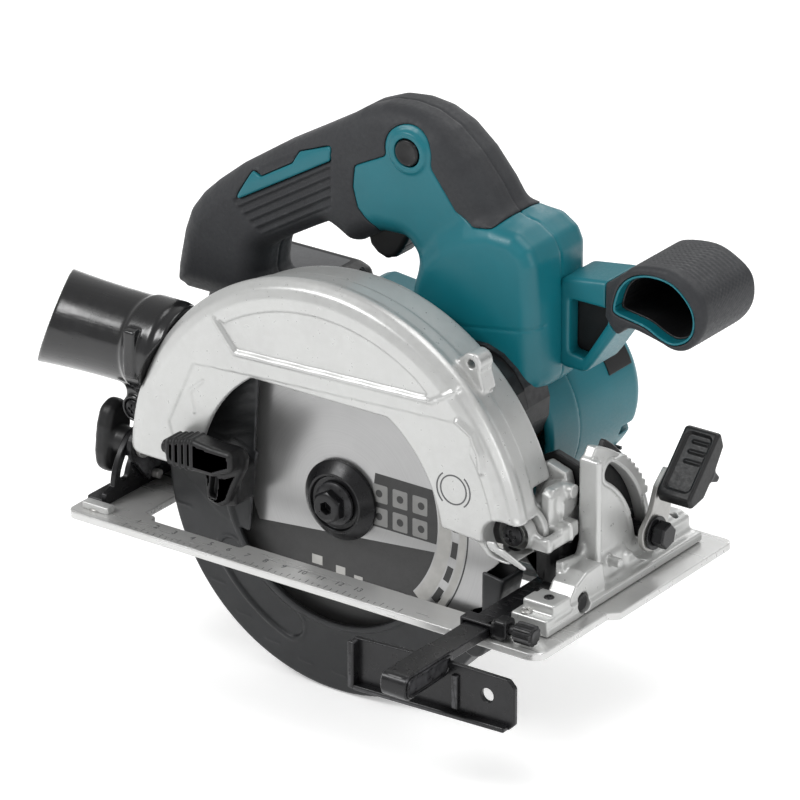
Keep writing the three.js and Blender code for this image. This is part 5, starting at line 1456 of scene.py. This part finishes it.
def blade():
    near, far = BLADE_Y - 0.8, BLADE_Y + 0.8
    disc = Solid()
    holes = [circle(*ARBOR, 10.2, 64)] + [expansion_slot(11.0 + 45 * k) for k in range(8)]
    disc.sweep(1, tooth_ring(BLADE_R), near, far, holes=holes)
    solid_piece(disc, "saw_blade_disc", "blade", "spindle", ("blade",))
    tips = Solid()
    for k in range(24):
        tip = turned([[BLADE_R - 5, -0.4], [BLADE_R - 0.1, -0.4], [BLADE_R - 0.5, 1.4], [BLADE_R - 5, 1.2]],
            15 * k, *ARBOR)
        tips.sweep(1, tip, near - 0.12, far + 0.12)
    solid_piece(tips, "saw_blade_tips", "steel", "spindle")
    blade_print(near)


def blade_print(near):
    dark, light, grey = Solid(), Solid(), Solid()
    # The lower part of the blade, below a slanting chord, and a band round its lower left are dark; the
    # light rings are drawn only over its right and upper side.
    lower = arc(*ARBOR, 49, 205.4, 346, 60)
    dark.sweep(1, lower, near - 0.05, near + 0.1)
    dark.sweep(1, band(*ARBOR, 48.5, 73, 168, 318, 90), near - 0.06, near + 0.1)
    dark.sweep(1, arc(*ARBOR, 49, -9.5, 19.5, 20) + [[17, 42], [14, 17.4]], near - 0.05, near + 0.1)
    for k in range(3):
        for level in (33.0, 22.4):
            x = 19.6 + 10.2 * k
            grey.sweep(1, soft(rect(x - 3.8, x + 3.8, level - 4.1, level + 4.1), 0.8), near - 0.12, near)
            dark.sweep(1, circle(x + (k - 1) * 0.6, level, 1.7, 20), near - 0.16, near - 0.1)
    for r0, r1, parts, where in ((49.6, 56, 1, light), (60.2, 63.4, 1, light), (56.6, 59.6, 30, dark),
            (64.0, 64.7, 1, dark)):
        for k in range(parts):
            span = 360 / parts
            start = k * span
            if parts == 1:
                where.sweep(1, band(*ARBOR, r0, r1, -42, 120, 120), near - 0.04, near + 0.1)
            elif start < 110 or start > 320:
                where.sweep(1, band(*ARBOR, r0, r1, start, start + 0.62 * span, 6), near - 0.05, near + 0.1)
    for k, x in enumerate((-16, -3.5, 6)):
        wide = 5.4 - 0.5 * k
        light.sweep(1, rect(x, x + wide, -8.4 - 2 * k, -4.2 - 2 * k), near - 0.12, near)
    solid_piece(dark, "blade_print_dark", "print_dark", "spindle")
    solid_piece(light, "blade_print_light", "print_light", "spindle")
    solid_piece(grey, "blade_print_squares", "print_mid", "spindle")


def flange_and_bolt():
    flange = Solid()
    flange.turn(1, *ARBOR, soft([[4.4, -31.1], [18, -31.1], [18, -32.8], [13.4, -37], [12.4, -37],
                                 [11.8, -35.6], [4.4, -35.6]], 0.5, 3), 120)
    solid_piece(flange, "outer_blade_flange", "black_steel", "spindle", ("outer_flange",), turn=50)
    bolt = Solid()
    bolt.turn(1, *ARBOR, [[0, -26], [3.6, -26], [3.6, -36], [9.4, -36], [9.7, -36.5], [9.5, -37.4],
        [7.4, -38.8], [0, -38.8]], 72)
    solid_piece(bolt, "blade_bolt_flange", "black_steel", "spindle", ("blade_bolt",), turn=40)
    space = Space((ARBOR[0] - 8, -43.3, ARBOR[1] - 8), (ARBOR[0] + 8, -37.6, ARBOR[1] + 8), 0.24)
    head = space.sweep(1, turned(circle(0, 0, 7.5, 6), 30, *ARBOR), -43, -38, 0.4)
    head = meet(head, space.ball(ARBOR[0], -33.5, ARBOR[1], 11.1), 0.4)
    head = cut(head, space.sweep(1, turned(circle(0, 0, 3.0, 6), 30, *ARBOR), -50, -39.4), 0.3)
    field_piece(space, "blade_bolt_head", head, "black_steel", "spindle")


# ---- battery and its bay ----
def battery():
    x0, x1, y0, y1, z0, z1 = -126, -16, 38.5, 84, 8.5, 79.5
    space = Space((x0 - 1.5, 23.5, z0 - 0.5), (x1 + 0.5, y1 + 0.5, z1 + 0.5), 0.8)
    side = [
        [x0, z0 + 14], [x0 + 3, z0 + 3], [x0 + 10, z0], [x1 - 6, z0], [x1 - 1.5, z0 + 5], [x1 - 1.5, 57],
        [x1 - 4, 61],
        [-59, 61.5], [-62, 66], [-66, z1 - 2], [-72, z1], [x0 + 12, z1], [x0 + 3, z1 - 8], [x0, z1 - 20],
    ]
    shape = space.sweep(1, soft(side, 5), y0, y1, 4.5)
    shape = shape + 0.8 * ridge(space.y - 60, 1.1) + 0.6 * ridge(space.z - 30, 0.9)
    ribs = sum(ridge(space.z - z, 1.3) for z in (16, 20, 24)) * step_up(abs(space.x + 70) - 42, 3)
    shape = shape + 0.5 * ribs
    rail = 40.0
    neck = space.block(-90, -20, 24.2, y0 + 5, rail - 11.4, rail + 11.4)
    lips = space.block(-90, -20, 24.2, 26.6, rail - 13.6, rail + 13.6)
    shelf = space.block(-102, -18, 30.3, y0 + 5, rail - 21, rail + 21, 1)
    shape = np.minimum(join(shape, shelf, 1), np.minimum(neck, lips))
    shape = cut(shape, space.block(x0 - 3, x0 + 9, 52, 70, 46, 70), 0.5)
    shape = cut(shape, space.block(-60, -16, 23, y0 + 1, rail - 9, rail + 9))
    field_piece(space, "battery_pack", shape, "black", "battery", ("battery_case",))
    label = Solid().sweep(2, soft(rect(-112, -74, 46, 78), 2), z1 - 0.2, z1 + 0.05)
    label.sweep(1, soft(rect(-108, -66, 38, 54), 2), y1 - 0.3, y1 + 0.1)
    solid_piece(label, "battery_label", "print_grey", "battery")
    button = Space((-127, 52, 46), (-117, 70, 66.5), 0.4)
    cap = button.block(-126.4, -117.8, 52.6, 69.4, 46.7, 65.9, 1.4)
    cap = cap + 0.5 * np.cos(2 * np.pi * button.z / 3.2) * step_up(-122 - button.x, 3)
    field_piece(button, "battery_release", cap, "rubber", "battery_release_button",
        ("battery_release_button",))


def battery_bay():
    x0, x1, y0, y1, z0, z1 = -98, -13, 21, 30, 16, 81.2
    space = Space((x0 - 0.5, y0 - 0.5, z0 - 0.5), (x1 + 0.5, 80.5, 82), 0.7)
    plate = space.block(x0, x1, y0, y0 + 3, z0, z1, 1.0)
    roof = space.sweep(1, soft([[-57, 62.5], [-57, 74], [-55, 79], [-49.5, 81], [-30, 79], [x1, 73],
        [x1, 62.5]], 4), y0, 78, 2.2)
    room = space.sweep(1, soft([[-53, 55], [-53, 73], [-49, 77], [-31, 75.5], [-17, 70.5], [-17, 55]], 2),
        y0 + 3, 74)
    shape = join(plate, cut(roof, room), 1.5)
    for z in (23.0, 57.0):
        inward_shift = 0.1 if z < 40 else -0.1
        hook = -2.6 if z < 40 else 2.6
        rail = space.block(x0 + 6, -17, y0 + 2, y1, z - 2.5, z + 2.5)
        lip = space.block(x0 + 6, -17, y1 - 3, y1, z - hook - 2.6 + inward_shift,
            z - hook + 2.6 + inward_shift)
        shape = np.minimum(shape, np.minimum(rail, lip))
    shape = join(shape, space.block(-16, x1, y0, 80, 24, 66, 0.8), 1)
    field_piece(space, "battery_bay_shell", shape, "teal", replaced=("battery_bay",))


# ---- depth guide and depth clamp lever ----
def depth_parts():
    guide = Solid()
    rails = band(*DEPTH, 114, 130, 187, 139, 60)
    slot = slot_arc(*DEPTH, 122, 3.4, 140, 177.5, 40)
    guide.sweep(1, rails, -9, -7, holes=[slot], edge=0.25)
    tail = [[-91.7, 9], [-42, 9], [-30, 18], [-31, 33], [-46, 30], [-60, 22], [-91.7, 21]]
    guide.sweep(1, soft(tail, 1.5), -8.9, -7.1, edge=0.25)
    solid_piece(guide, "depth_guide_arc", "black_steel", "tilt_frame", ("depth_guide",), bevel=0.15)
    space = Space((-92, -7.2, 33), (-20, 3.2, 70), 0.5)
    lever = turned(arc(0, 0, 8.4, 60, 300, 24) + [[26, -6], [52, -7.2], [62, -6.6], [66, 0], [62, 6.6],
        [52, 6.6], [26, 5]],
                   161, *DEPTH_BOLT)
    shape = space.sweep(1, soft(lever, 2), -3.5, 2.5, 1.6)
    shape = join(shape, space.rod(1, *DEPTH_BOLT, 6, -6.7, 2, 0.5), 1.5)
    shape = cut(shape, space.rod(1, *DEPTH_BOLT, 3.2, -20, 20), 0.3)
    along = (space.x - DEPTH_BOLT[0]) * math.cos(math.radians(161)) + (space.z
        - DEPTH_BOLT[1]) * math.sin(math.radians(161))
    shape = shape - 0.5 * sum(ridge(along - place, 1.0) for place in (48, 52, 56))
    field_piece(space, "depth_clamp_lever", shape, "black", "depth_lever", ("depth_lever",))


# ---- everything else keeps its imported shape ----
KEPT = {
    "gear_housing": ("black", 0.7), "shaft_lock_button": ("rubber", 0.4), "lamp": ("lens", 0.3),
    "depth_clamp_bolt": ("steel", 0.3), "inner_flange": ("black_steel", 0.3), "spindle": ("steel", 0.2),
    "spindle_bearing_outer": ("steel", 0.3), "spindle_bearing_inner": ("steel", 0.3),
    "drive_gear": ("steel", 0.05),
    "pinion": ("steel", 0.05), "rotor_shaft": ("steel", 0.2), "rotor": ("black_steel", 0.3),
    "fan": ("black", 0.2),
    "stator": ("copper", 0.3), "rotor_bearing_gear": ("steel", 0.3), "rotor_bearing_end": ("steel", 0.3),
    "trigger_pin": ("steel", 0.2), "switch_unit": ("black", 0.5), "terminal_block": ("black", 0.4),
    "controller_board": ("board", 0.15), "guard_spring": ("steel", 0.2),
}


def kept_nodes():
    for node, (look, bevel) in KEPT.items():
        part = bpy.data.objects[node]
        part.data.materials.clear()
        part.data.materials.append(looks[look])
        part.data.polygons.foreach_set("use_smooth", [True] * len(part.data.polygons))
        part.data.set_sharp_from_angle(angle=math.radians(38))
        edges = part.modifiers.new("edges", "BEVEL")
        edges.width, edges.segments, edges.limit_method = bevel * MM, 2, "ANGLE"
        edges.angle_limit = math.radians(38)
        edges.harden_normals = True


# ---- make everything ----
handle()
trigger()
lock_off_button()
motor_housing()
motor_patch()
blade_case()
lower_guard()
dust_nozzle()
front_grip()
base_plate()
front_quadrant()
front_bracket()
bevel_lever()
rear_end()
rip_guide()
blade()
flange_and_bolt()
battery()
battery_bay()
depth_parts()
kept_nodes()


# ---- stage ----
AIM = Vector((32.0, -34.0, 80.2)) * MM
AZIMUTH, ELEVATION, DISTANCE = math.radians(35.6), math.radians(23.8), 2.5
PIXELS_PER_MM, IMAGE_SIDE = 2.419, 800


def camera():
    data = bpy.data.cameras.new("camera")
    made = bpy.data.objects.new("camera", data)
    bpy.context.scene.collection.objects.link(made)
    back = Vector((math.sin(AZIMUTH) * math.cos(ELEVATION), -math.cos(AZIMUTH) * math.cos(ELEVATION),
                   math.sin(ELEVATION)))
    made.location = AIM + back * DISTANCE
    made.rotation_mode = "QUATERNION"
    made.rotation_quaternion = (-back).to_track_quat("-Z", "Y")
    seen = IMAGE_SIDE / PIXELS_PER_MM * MM
    data.lens = data.sensor_width * DISTANCE / seen
    data.clip_start, data.clip_end = 0.1, 20
    bpy.context.scene.camera = made


def area_light(name, place, size, power, colour=(1, 1, 1)):
    data = bpy.data.lights.new(name, "AREA")
    data.shape = "RECTANGLE"
    data.size, data.size_y = size
    data.energy, data.color = power, colour
    made = bpy.data.objects.new(name, data)
    bpy.context.scene.collection.objects.link(made)
    made.location = place
    made.rotation_mode = "QUATERNION"
    made.rotation_quaternion = (AIM - Vector(place)).to_track_quat("-Z", "Y")


def floor():
    level = cad_box[0][2] - 0.0006
    mesh = bpy.data.meshes.new("floor")
    mesh.from_pydata([(-6, -6, level), (6, -6, level), (6, 6, level), (-6, 6, level)], [], [(0, 1, 2, 3)])
    made = bpy.data.objects.new("floor", mesh)
    bpy.context.scene.collection.objects.link(made)
    look = Look("studio_floor", (0.93, 0.93, 0.93), 0.7)
    look.clouds(600, (0.95, 0.95, 0.95), 0.5)
    look.set(Emission_Color=(1, 1, 1, 1), Emission_Strength=0.32)
    mesh.materials.append(look.done())


def studio():
    world = bpy.data.worlds.new("studio")
    bpy.context.scene.world = world
    world.use_nodes = True
    world.node_tree.nodes["Background"].inputs["Color"].default_value = (1, 1, 1, 1)
    world.node_tree.nodes["Background"].inputs["Strength"].default_value = 0.50
    area_light("key_light", (-0.9, -1.3, 1.5), (0.9, 0.7), 22)
    area_light("top_light", (0.5, 0.4, 1.8), (1.2, 1.0), 11)
    area_light("side_light", (1.6, -0.5, 0.7), (0.5, 0.9), 5)
    area_light("back_light", (-0.3, 1.8, 1.0), (1.2, 0.8), 7)
    bpy.context.scene.view_settings.view_transform = "Standard"


camera()
studio()
floor()
